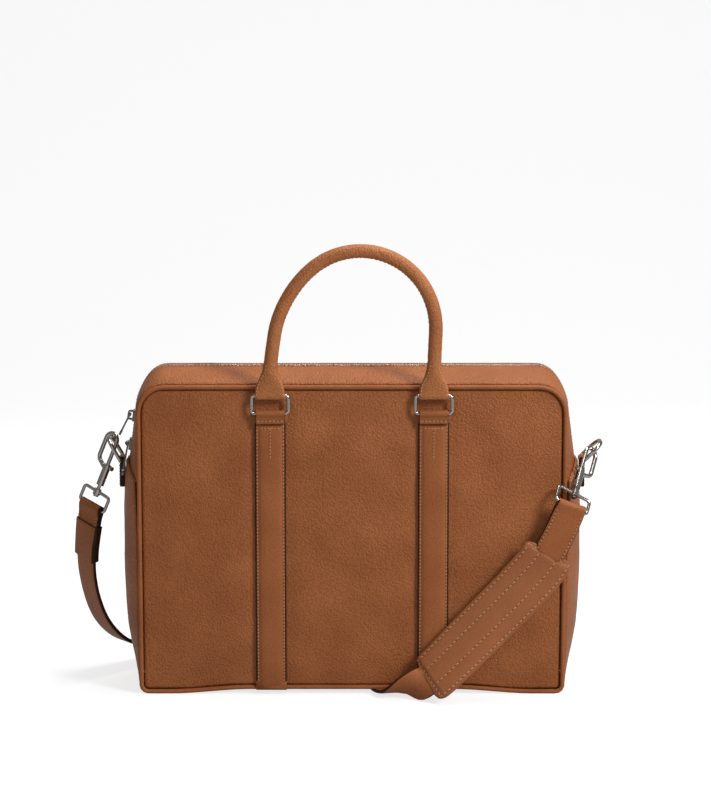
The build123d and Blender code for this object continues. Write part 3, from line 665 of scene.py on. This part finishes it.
def panel_height(x, z, dents):
    """Distance of a panel's outer face from the middle of the bag."""
    rim = smooth(min(HALF_W - abs(x), HEIGHT - z, z + 6) / 30)
    uneven = 0.5 * noise.noise(Vector((x * 0.018, z * 0.018, 3.0)))
    uneven += 0.25 * noise.noise(Vector((x * 0.06, z * 0.06, 9.0)))
    return PANEL_Y + crown(x, z) + rim * (dents(x, z) + uneven)


def panel(name, side, dents, replaced):
    """Leather panel: domed, turned in at its rim."""
    inset = 2 * PIPE_R + 0.1
    top, foot = TOP_R - inset, FOOT_R - inset
    columns = 150
    heights = [inset + (HEIGHT - 2 * inset) * (0.5 - 0.5 * math.cos(math.pi * k / 119)) for k in range(120)]
    verts = []
    for z0 in heights:
        w = HALF_W - inset
        if z0 > HEIGHT - TOP_R:
            w -= top - math.sqrt(max(top ** 2 - (z0 - (HEIGHT - TOP_R)) ** 2, 0))
        if z0 < FOOT_R:
            w -= foot - math.sqrt(max(foot ** 2 - (FOOT_R - z0) ** 2, 0))
        for k in range(columns + 1):
            u = 2 * k / columns - 1
            x = w * math.sin(u * math.pi / 2) * 0.35 + w * u * 0.65
            lift = ARCH * smooth((ARCH_OUT - abs(x)) / (ARCH_OUT - ARCH_IN)) * (1 - z0 / HEIGHT) ** 3
            z = z0 + lift
            edge = min(w - abs(x), HEIGHT - inset - z0, z0 - inset)
            tuck = 1.3 * (1 - smooth(edge / 2.4)) ** 2
            verts.append((x, side * (panel_height(x, z, dents) - tuck), z))
    around = columns + 1
    faces = [
        (r * around + c, r * around + c + 1, (r + 1) * around + c + 1, (r + 1) * around + c)
        for r in range(len(heights) - 1) for c in range(columns)
    ]
    rim = list(range(columns)) + [r * around + columns for r in range(len(heights) - 1)]
    rim += [(len(heights) - 1) * around + c for c in range(columns, 0, -1)]
    rim += [r * around for r in range(len(heights) - 1, 0, -1)]
    base = len(verts)
    verts += [(verts[i][0], side * (PANEL_Y - 3.4), verts[i][2]) for i in rim]
    count = len(rim)
    faces += [(rim[i], rim[(i + 1) % count], base + (i + 1) % count, base + i) for i in range(count)]
    faces.append(tuple(base + i for i in range(count)))
    return make_piece(name, verts, faces, [GRAIN], replaces=[replaced])


panel("front_leather", -1, front_dents, "front_panel")
panel("back_leather", 1, back_dents, "back_panel")


def cord_ring(path, radius, around=14):
    """Rings of a round tube along a closed path in an upright plane."""
    tangent = np.roll(path, -1, axis=0) - np.roll(path, 1, axis=0)
    tangent /= np.linalg.norm(tangent, axis=1)[:, None]
    turns = [2 * math.pi * k / around for k in range(around)]
    depth = np.array([0, 1, 0])
    rings = []
    for place, t in zip(path, tangent):
        out = np.array([t[2], 0, -t[0]])
        r = radius * (1 + 0.03 * noise.noise(Vector(place * 0.35)))
        rings.append([place + r * (out * math.cos(turn) + depth * math.sin(turn)) for turn in turns])
    return rings


edge_line = outline(PIPE_R)
edge_line, _ = rows(np.vstack([edge_line, edge_line[:1]]), 3.0)
edge_line = edge_line[:-1]
for side, name in ((-1, "front"), (1, "back")):
    path = np.stack([edge_line[:, 0], np.full(len(edge_line), side * HALF_D), edge_line[:, 1]], axis=1)
    verts, faces = tube(cord_ring(path, PIPE_R), closed=True)
    make_piece(
        f"{name}_piping_leather", verts, faces, [SMOOTH], replaces=[f"{name}_piping"]
    )

# ------------------------------------------------------------------ zip gussets and zip

SWELLS = dict(side=13.5, low=11.0, high=3.0, top=12.0)
ZIP_MOUTH_Y, TOOTH_STEP = 4.8, 1.05
TOOTH_STATIONS = (
    (-0.5, 0.28, 0.3), (-0.2, 0.42, 0.5), (0.7, 0.46, 0.6), (2.3, 0.5, 0.62), (2.5, 0.44, 0.5),
)
TOOTH_OUTLINE = ((-1, -1), (1, -1), (1.05, 0), (1, 0.8), (0.6, 1), (-0.6, 1), (-1, 0.8), (-1.05, 0))
TAPE_OUTLINE = ((-12, -2.45), (-2.7, -2.45), (-2.7, -2.95), (-12, -2.95))


def swell_at(z):
    if z >= ZIP_LOW_Z:
        return SWELLS["low"] + (SWELLS["high"] - SWELLS["low"]) * (z - ZIP_LOW_Z) / (CORNER_Z - ZIP_LOW_Z)
    fade = 1 - (1 - min(z, 85.0) / 85.0) ** 2
    return SWELLS["side"] * fade + (SWELLS["low"] - SWELLS["side"]) * smooth((z - 130) / 55)


def across_share(y):
    return 1 - (y / HALF_D) ** 2


def zip_stations(z_low):
    """Places up the left side, over the top and down the right: outline point, outward direction, swell."""
    half = []
    for z in np.arange(z_low, CORNER_Z - 0.5, 2.0):
        half.append(((-HALF_W, z), (-1.0, 0.0), swell_at(z)))
    for angle in range(0, 90, 5):
        turn = math.radians(angle)
        out = (-math.cos(turn), math.sin(turn))
        middle = (-(HALF_W - TOP_R) + TOP_R * out[0], CORNER_Z + TOP_R * out[1])
        swell = SWELLS["high"] + (SWELLS["top"] - SWELLS["high"]) * math.sin(turn) ** 4
        half.append((middle, out, swell))
    flat_half = HALF_W - TOP_R
    top = [((x, HEIGHT), (0.0, 1.0), SWELLS["top"]) for x in np.arange(-flat_half, flat_half + 0.1, 2.0)]
    other = [((-p[0], p[1]), (-o[0], o[1]), s) for p, o, s in reversed(half)]
    return half + top + other


def zip_place(station, y, offset):
    (px, pz), (ox, oz), swell = station
    reach = swell * across_share(y) + offset
    return np.array([px + ox * reach, y, pz + oz * reach])


def gusset_soft(point):
    """Unevenness of the gusset leather."""
    return wobble(point, 0.5, 0.03) + wobble(point, 0.25, 0.09)


def zip_gusset(name, side, replaced):
    rings = []
    depths = [-SEAM_Y + (SEAM_Y - ZIP_MOUTH_Y) * k / 14 for k in range(15)]
    for station in zip_stations(ZIP_LOW_Z - 3):
        ring = []
        for y in depths:
            soft = gusset_soft(zip_place(station, y, 0)) * smooth((SEAM_Y + y) / 10) * smooth((-4 - y) / 8)
            fold = 0.45 * bell(y + 8.2, 1.4)
            ring.append(zip_place(station, y, soft - fold))
        ring += [zip_place(station, y, drop) for y, drop in ((-4.25, -0.25), (-4.0, -1.0), (-4.25, -1.8))]
        ring += [zip_place(station, y, -2.0) for y in reversed(depths)]
        rings.append([p * (1, -side, 1) for p in ring])
    verts, faces = tube(rings)
    return make_piece(name, verts, faces, [GRAIN], replaces=[replaced])


body_stitches = []
for side, name in ((-1, "front"), (1, "back")):
    zip_gusset(f"zip_gusset_{name}_leather", side, f"zip_gusset_{name}")
    stations = zip_stations(ZIP_LOW_Z - 1)
    row = [zip_place(s, -7.0, 0.05) * (1, -side, 1) for s in stations]
    normals = [(s[1][0], 0.15 * side, s[1][1]) for s in stations]
    body_stitches.append(stitches(row, normals, 3.3))
    rings = [[zip_place(s, y, o) * (1, -side, 1) for y, o in TAPE_OUTLINE] for s in stations]
    verts, faces = tube(rings)
    make_piece(f"zip_tape_{name}_cloth", verts, faces, [TAPE], replaces=[f"zip_tape_{name}"])
    teeth = []
    middle, tangent = rows([zip_place(s, 0, -0.9) for s in zip_stations(ZIP_LOW_Z + 3)], TOOTH_STEP)
    start = 0 if side < 0 else 1
    for place, t in list(zip(middle, tangent))[start::2]:
        out = np.cross(t, (0, 1, 0))
        out = out if out @ (place - (0, 0, 150)) > 0 else -out
        ring = []
        for y, half_long, half_high in TOOTH_STATIONS:
            at = place + np.array([0, side * y, 0])
            ring.append([at + t * half_long * a + out * half_high * b for a, b in TOOTH_OUTLINE])
        teeth.append(tube(ring))
    verts, faces = joined(teeth)
    make_piece(
        f"zip_teeth_{name}_row", verts, faces, [TEETH], replaces=[f"zip_teeth_{name}"]
    )

# ------------------------------------------------------------------ side and bottom gussets


def side_x(y, z):
    """Outer face of the left side gusset."""
    lap = 2.15 * smooth((z - 130) / 55)
    crease = 1.3 * bell(y - 3 * math.sin(z * 0.03), 5.0) * smooth((z - 15) / 40) * smooth((175 - z) / 45)
    soft = (wobble((50, y, z), 0.7, 0.025) + wobble((80, y, z), 0.3, 0.08)) * smooth((SEAM_Y - abs(y)) / 12)
    slump = 2.2 * bell(z - 125, 62)
    swell = (swell_at(max(z, 0)) + slump) * across_share(y)
    return -(HALF_W + lap + swell - crease + soft * smooth((200 - z) / 40))


def side_top(y):
    return ZIP_LOW_Z + 12 * (1 - (y / SEAM_Y) ** 2)


def side_gusset(name, turn, replaced):
    rings = []
    for k in range(41):
        y = -SEAM_Y + 2 * SEAM_Y * k / 40
        heights = [FOOT_R + 0.1 + (side_top(y) - FOOT_R - 0.1) * v / 60 for v in range(61)]
        outer = [(side_x(y, z) + (0.5 if v in (0, 60) else 0), y, z) for v, z in enumerate(heights)]
        inner = [(side_x(y, z) + 2.0, y, z) for z in reversed(heights)]
        rings.append(turn(outer + inner))
    verts, faces = tube(rings)
    return make_piece(name, verts, faces, [GRAIN], replaces=[replaced])


side_gusset("side_gusset_left_leather", np.array, "side_gusset_left")
side_gusset("side_gusset_right_leather", flip_x, "side_gusset_right")
for turn in (np.array, flip_x):
    depths = np.linspace(-SEAM_Y + 1.5, SEAM_Y - 1.5, 40)
    row = turn([(side_x(y, side_top(y) - 2.6) - 0.05, y, side_top(y) - 2.6) for y in depths])
    normals = turn([(-1.0, y / 150, 0.1) for y in depths])
    body_stitches.append(stitches(row, normals, 3.2))

base_line = [p for p in outline(0) if p[1] <= FOOT_R + 0.01]
base_line = sorted(base_line, key=lambda p: (p[0], -p[1] if p[0] < 0 else p[1]))
base_line, base_tangent = rows(base_line, 3.0)
rings = []
for (x, z), (tx, tz) in zip(base_line, base_tangent):
    inward = np.array([-tz, tx])
    outer, inner = [], []
    for y in np.linspace(-SEAM_Y, SEAM_Y, 17):
        sag = 0.25 * (1 + noise.noise(Vector((x * 0.03, y * 0.05, 5.0)))) * smooth((SEAM_Y - abs(y)) / 10)
        outer.append((x + inward[0] * sag, y, z + inward[1] * sag))
        inner.append((x + inward[0] * 2, y, z + inward[1] * 2))
    rings.append(outer + inner[::-1])
verts, faces = tube(rings)
make_piece("bottom_gusset_leather", verts, faces, [GRAIN], replaces=["bottom_gusset"])

# ------------------------------------------------------------------ vertical straps, loops

STRAP_PROFILE = [
    (-13.5, 0.1), (-13.5, 1.2), (-13.25, 1.7), (-12.7, 2.0), (-12.1, 2.1), (-10.7, 2.1),
    (-9.9, 2.45), (-9.1, 3.0), (-7.6, 3.5), (-4, 3.75), (0, 3.8), (4, 3.75),
    (7.6, 3.5), (9.1, 3.0), (9.9, 2.45),
    (10.7, 2.1), (12.1, 2.1), (12.7, 2.0), (13.25, 1.7), (13.5, 1.2), (13.5, 0.1),
]
PAINTED = {0, 1, 2, 3, 16, 17, 18, 19}
STRAP_FOOT_Z, STRAP_ROW_X = 4.3, 11.4


def strap_base(x, z):
    """Straight-stretched face under a vertical strap."""
    return PANEL_Y + crown(x, z)


def settle(x, z):
    """Slight waviness of a vertical strap along its length."""
    return 0.35 * noise.noise(Vector((x, z * 0.03, 1.0)))


def vertical_strap(name, x, side, replaced):
    rings = []
    heights = [STRAP_FOOT_Z, 4.6, 5.4, *np.linspace(8, STRAP_TOP - 1.2, 90), STRAP_TOP - 0.5, STRAP_TOP]
    for z in heights:
        end = min(z - STRAP_FOOT_Z, STRAP_TOP - z)
        ring = []
        for across, lift in STRAP_PROFILE:
            if lift >= 1:
                worn = 0.5 * (1 - smooth(end / 1.2)) + max(0, lift - 2) * (1 - smooth(end / 5))
                lift = max(0.9, lift - worn)
            swell = (settle(x, z) if lift > 1 else 0) * smooth(end / 20)
            low = 3.25 * (1 - smooth((z - 9) / 6)) if lift < 1 else 0
            ring.append((x + across, side * (strap_base(x + across, z) + lift + swell + low), z))
        rings.append(ring)
    verts, faces = tube(rings)
    around = len(STRAP_PROFILE)
    mats = [1 if j in PAINTED else 0 for _ in range(len(rings) - 1) for j in range(around)] + [1, 1]
    return make_piece(
        name, verts, faces, [SMOOTH, EDGE_PAINT_AND_HOLE_SHADE], face_mats=mats, replaces=[replaced]
    )


def strap_row(x, side, across, low, high, lift):
    heights = np.linspace(low, high, max(4, int((high - low) / 4)))
    return [(x + across, side * (strap_base(x + across, z) + lift + settle(x, z)), z) for z in heights]


for side, name in ((-1, "front"), (1, "back")):
    for x, hand in ((-STRAP_X, "left"), (STRAP_X, "right")):
        vertical_strap(f"strap_{name}_{hand}_leather", x, side, f"strap_{name}_{hand}")
        normal = (0, side, 0)
        for across in (-STRAP_ROW_X, STRAP_ROW_X):
            body_stitches.append(stitches(strap_row(x, side, across, 7, STRAP_TOP - 3, 2.05), normal, 3.1))
        middle_row = strap_row(x, side, 0, STRAP_TOP - 29, STRAP_TOP - 5, 3.85)
        body_stitches.append(stitches(middle_row, normal, 3.1))
        level_z = STRAP_TOP - 4
        level = [(x + a, side * (strap_base(x, level_z) + 3.4), level_z) for a in np.linspace(-7, 7, 8)]
        body_stitches.append(stitches(level, normal, 3.0))


def loop_profile(tail_low, front, back, roll):
    """Section of a leather loop: a roll round the bar and a tail below it; front is outward."""
    points = [(-back, tail_low), (front, tail_low), (front + 0.2, tail_low + 1.0)]
    first = math.asin(min(1, front / roll))
    for k in range(15):
        a = -math.pi / 2 + first + (2 * math.pi - first - 0.9) * k / 14
        points.append((roll * math.cos(a) if k else front, roll * math.sin(a)))
    points.append((-back, -roll * 0.6))
    return points


def loop(name, place, tail, body_front, body_back, roll, half, replaced):
    """Leather loop; place(along, out, up) puts a section point on the bag."""
    profile = loop_profile(-tail, body_front, body_back, roll)
    near = ((half, 0.86), (half - 0.35, 0.97), (half - 1.2, 1.0))
    rings = []
    for along, size in [(-a, size) for a, size in near] + [(0, 1.0)] + list(reversed(near)):
        rings.append([place(along, out * size, up * (size if up > -roll else 1)) for out, up in profile])
    verts, faces = tube(rings)
    around = len(profile)
    mats = [1 if i in (0, 5) else 0 for i in range(6) for _ in range(around)] + [1, 1]
    return make_piece(
        name, verts, faces, [SMOOTH, EDGE_PAINT_AND_HOLE_SHADE], face_mats=mats, replaces=[replaced]
    )


for side, name in ((-1, "front"), (1, "back")):
    for x, hand in ((-STRAP_X, "left"), (STRAP_X, "right")):
        def put(along, out, up, side=side, x=x):
            return (x + along, side * (RING_Y + out), RING_LOW_Z + up)
        loop(f"ring_loop_{name}_{hand}_leather", put, 8.9, 1.6, 3.25, 3.3, 12.5, f"ring_loop_{name}_{hand}")
        level = [(x + a, side * (RING_Y + 1.75), STRAP_TOP + 2.6) for a in np.linspace(-10, 10, 10)]
        body_stitches.append(stitches(level, (0, side, 0), 3.1))
for hand, sign in (("left", -1), ("right", 1)):
    def put_side(along, out, up, sign=sign):
        return (sign * (DRING_X + out), along, DRING_Z + up)
    loop(f"d_ring_loop_{hand}_leather", put_side, 24, 1.6, 2.4, 3.2, 7.5, f"d_ring_loop_{hand}")
    for across in (-5.6, 5.6):
        row = [(sign * (DRING_X + 1.75), across, z) for z in np.linspace(DRING_Z - 22, DRING_Z - 5, 6)]
        body_stitches.append(stitches(row, (sign, 0, 0), 3.0))
    row = [(sign * (DRING_X + 1.75), y, DRING_Z - 22) for y in np.linspace(-5.6, 5.6, 5)]
    body_stitches.append(stitches(row, (sign, 0, 0), 2.8))
stitch_verts, stitch_faces = joined(body_stitches)
make_piece("bag_stitching", stitch_verts, stitch_faces, [THREAD])
# Painted shade of the needle holes along the bag's stitching.
hole_shade_verts, hole_shade_faces = joined(HOLE_SHADES)
make_piece("bag_needle_hole_shade", hole_shade_verts, hole_shade_faces, [EDGE_PAINT_AND_HOLE_SHADE])
HOLE_SHADES.clear()

# ------------------------------------------------------------------ handles

FOOT_SHAPE = np.array([
    (-3.4, 12.6, 0.3, 5), (-3.0, 12.9, 1.6, 5), (-2.0, 13.0, 2.8, 5), (0, 13.0, 3.4, 5),
    (1, 13.0, 3.35, 5), (4, 12.8, 3.4, 4.5), (8, 12.2, 3.9, 3.6),
    (12, 10.8, 4.7, 2.8), (17, 8.6, 5.6, 2.3), (22, 7.0, 6.1, 2.0), (31, 6.0, 6.0, 2.0),
])
LEG = LEG_TOP_Z - UPPER_BAR_Z
ARCH_LEN = math.pi * STRAP_X
CORE_FROM, CORE_R = 24, 3.9
HANDLE_LEN = 2 * LEG + ARCH_LEN


def settled(x, height):
    """Place of a handle point once the worn arch has settled to the right, more so on its left leg."""
    shift = 3.0 + 4.2 * (1 - x / STRAP_X)
    return np.array([x + shift * smooth((height - 12) / 100), 0, height])


def handle_at(at):
    """Middle and outward direction of the upright handle at a distance from its left bar."""
    if at < LEG:
        return settled(-STRAP_X, at), np.array([-1.0, 0, 0])
    if at > LEG + ARCH_LEN:
        return settled(STRAP_X, HANDLE_LEN - at), np.array([1.0, 0, 0])
    turn = (at - LEG) / STRAP_X
    out = np.array([-math.cos(turn), 0, math.sin(turn)])
    return settled(STRAP_X * out[0], LEG + STRAP_X * out[2]), out


def handle_section(at):
    """Half widths and squareness of the section."""
    end = min(at, HANDLE_LEN - at)
    return [float(np.interp(end, FOOT_SHAPE[:, 0], FOOT_SHAPE[:, k])) for k in (1, 2, 3)]


def handle_skin():
    around = 36
    stops = [*np.arange(-3.4, 0, 0.4), *np.arange(0, HANDLE_LEN, 1.1), *(HANDLE_LEN + np.arange(0, 3.5, 0.4))]
    rings = []
    for at in stops:
        middle, out = handle_at(at)
        a, b, square = handle_section(at)
        end = min(at, HANDLE_LEN - at)
        ring = []
        for k in range(around):
            turn = 2 * math.pi * k / around
            c, s = math.cos(turn), math.sin(turn)
            power = 2 / square
            u = math.copysign(abs(c) ** power, c)
            v = math.copysign(abs(s) ** power, s)
            inner = max(0, -c) * smooth((end - 40) / 40)
            crease = 0.2 * inner * math.sin(at * 1.55 + 2.2 * noise.noise(Vector((at * 0.12, v, 0))))
            crease += 0.16 * smooth(end / 10) * noise.noise(Vector((at * 0.3, c * 1.2, s * 1.2)))
            depth = np.array([0, b * v * (1 + crease / b), 0])
            ring.append(middle + out * (a * u) * (1 + crease / a) + depth)
        rings.append(ring)
    return tube(rings)


def to_front(points):
    points = np.asarray(points, float) + (0, -RING_Y, UPPER_BAR_Z)
    return turned(points, -RING_Y, UPPER_BAR_Z, HANDLE_LEAN)


def to_back(points):
    points = flip_y(np.asarray(points, float) + (0, -RING_Y, UPPER_BAR_Z))
    points = turned(points, RING_Y, UPPER_BAR_Z, RING_FOLD - 180)
    return turned(points, RING_Y, RING_LOW_Z, -RING_FOLD)


handle_rows = []
for start, sign in ((0, 1), (HANDLE_LEN, -1)):
    for lean in (-1, 1):
        for face in (-1, 1):
            points, normals = [], []
            for d in np.linspace(1.5, 27, 14):
                middle, out = handle_at(start + sign * d)
                a, b, square = handle_section(start + sign * d)
                u = (a - 1.5) / a * (1 - 0.25 * smooth((d - 12) / 16))
                v = (1 - u ** square) ** (1 / square)
                points.append(middle + out * (a * u * lean) + np.array([0, face * b * v, 0]))
                depth = np.array([0, face * v ** (square - 1) / b, 0])
                normals.append(out * (lean * u ** (square - 1) / a) + depth)
            handle_rows.append(stitches(points, normals, 3.0))
row_verts, row_faces = joined(handle_rows)
skin_verts, skin_faces = handle_skin()
turns = [2 * math.pi * k / 16 for k in range(16)]
core_rings = []
for at in np.arange(CORE_FROM, HANDLE_LEN - CORE_FROM + 0.1, 2.0):
    middle, out = handle_at(at)
    core_rings.append([middle + CORE_R * (out * math.cos(t) + np.array([0, math.sin(t), 0])) for t in turns])
core_verts, core_faces = tube(core_rings)
for name, move in (("front", to_front), ("back", to_back)):
    body = f"handle_{name}"
    make_piece(f"{body}_leather", move(skin_verts), skin_faces, [LIT_HANDLE_LEATHER], body,
               replaces=[body])
    make_piece(f"{body}_core_foam", move(core_verts), core_faces, [FOAM], body,
               replaces=[f"handle_core_{name}"])
    make_piece(f"{body}_stitching", move(row_verts), row_faces, [THREAD], body)

# ------------------------------------------------------------------ CAD pieces that stay


def give(names, mat):
    """CAD nodes that stay as they are, in one material."""
    for name in names:
        obj = frame["nodes"][name]
        obj.data.materials.clear()
        obj.data.materials.append(mat)


polished = [n for n in frame["nodes"] if n.startswith(("ring_front", "ring_back", "hook_"))]
polished += ["d_ring_left", "d_ring_right"]
give(polished, SILVER)
give([f"zip_{part}_{place}" for part in ("slider", "pull") for place in ("upper", "lower")], DARK_METAL)
give(["pocket_slider"], DARK_METAL)
give(["lining", "laptop_divider", "slip_pockets", "zip_pocket_panel"], LINING)
give(["pocket_zip"], TAPE)
give(["laptop_tab", "laptop_tab_anchor"], SMOOTH)
give(["front_padding", "back_padding"], FOAM)
give(["base_board"], BOARD)

# ------------------------------------------------------------------ soft pieces listed, stage

HARDWARE = [f"{part}_{hand}" for part in ("hook", "hook_gate", "hook_ring") for hand in ("left", "right")]
cord_pieces = [frame["nodes"][n] for n in HARDWARE]
cord_pieces += [bpy.data.objects[n] for n in (
    "shoulder_pad_leather", "strap_end_right_leather", "strap_end_left_leather", "strap_keeper_leather",
    "shoulder_strap_stitching", "shoulder_strap_needle_hole_shade")]

SEEN_GLOW, THROWN_GLOW = 0.62, 0.14  # extra light of the floor to the camera, and its light on the bag
FLOOR_HALF, WALL_Y, WALL_R, WALL_TOP = 6.0, 1.6, 1.2, 5.0  # metres

floor_mat, floor_nodes, floor_links, floor_shader = new_material("pale_floor")
floor_shader.inputs["Base Color"].default_value = (0.35, 0.35, 0.35, 1)
floor_shader.inputs["Roughness"].default_value = 0.9
floor_shader.inputs["Emission Color"].default_value = (1, 1, 1, 1)
seen = floor_nodes.new("ShaderNodeLightPath")
glow = floor_nodes.new("ShaderNodeMath")
glow.operation = "MULTIPLY_ADD"
glow.inputs[1].default_value = SEEN_GLOW
glow.inputs[2].default_value = THROWN_GLOW
floor_links.new(seen.outputs["Is Camera Ray"], glow.inputs[0])
floor_links.new(glow.outputs["Value"], floor_shader.inputs["Emission Strength"])
sweep_turns = [math.radians(a) for a in range(10, 91, 10)]
sweep = [(-FLOOR_HALF, 0), (WALL_Y, 0)]
sweep += [(WALL_Y + WALL_R * math.sin(a), WALL_R - WALL_R * math.cos(a)) for a in sweep_turns]
sweep += [(WALL_Y + WALL_R, WALL_TOP)]
verts = [(x, y, z) for y, z in sweep for x in (-FLOOR_HALF, FLOOR_HALF)]
faces = [(2 * i, 2 * i + 1, 2 * i + 3, 2 * i + 2) for i in range(len(sweep) - 1)]
mesh = bpy.data.meshes.new("floor")
mesh.from_pydata(verts, [], faces)
mesh.materials.append(floor_mat)
mesh.polygons.foreach_set("use_smooth", [True] * len(mesh.polygons))
add_object("floor", mesh)

world = bpy.data.worlds.new("studio")
scene.world = world
world.use_nodes = True
world.node_tree.nodes["Background"].inputs["Color"].default_value = (1, 1, 1, 1)
world.node_tree.nodes["Background"].inputs["Strength"].default_value = 0.24
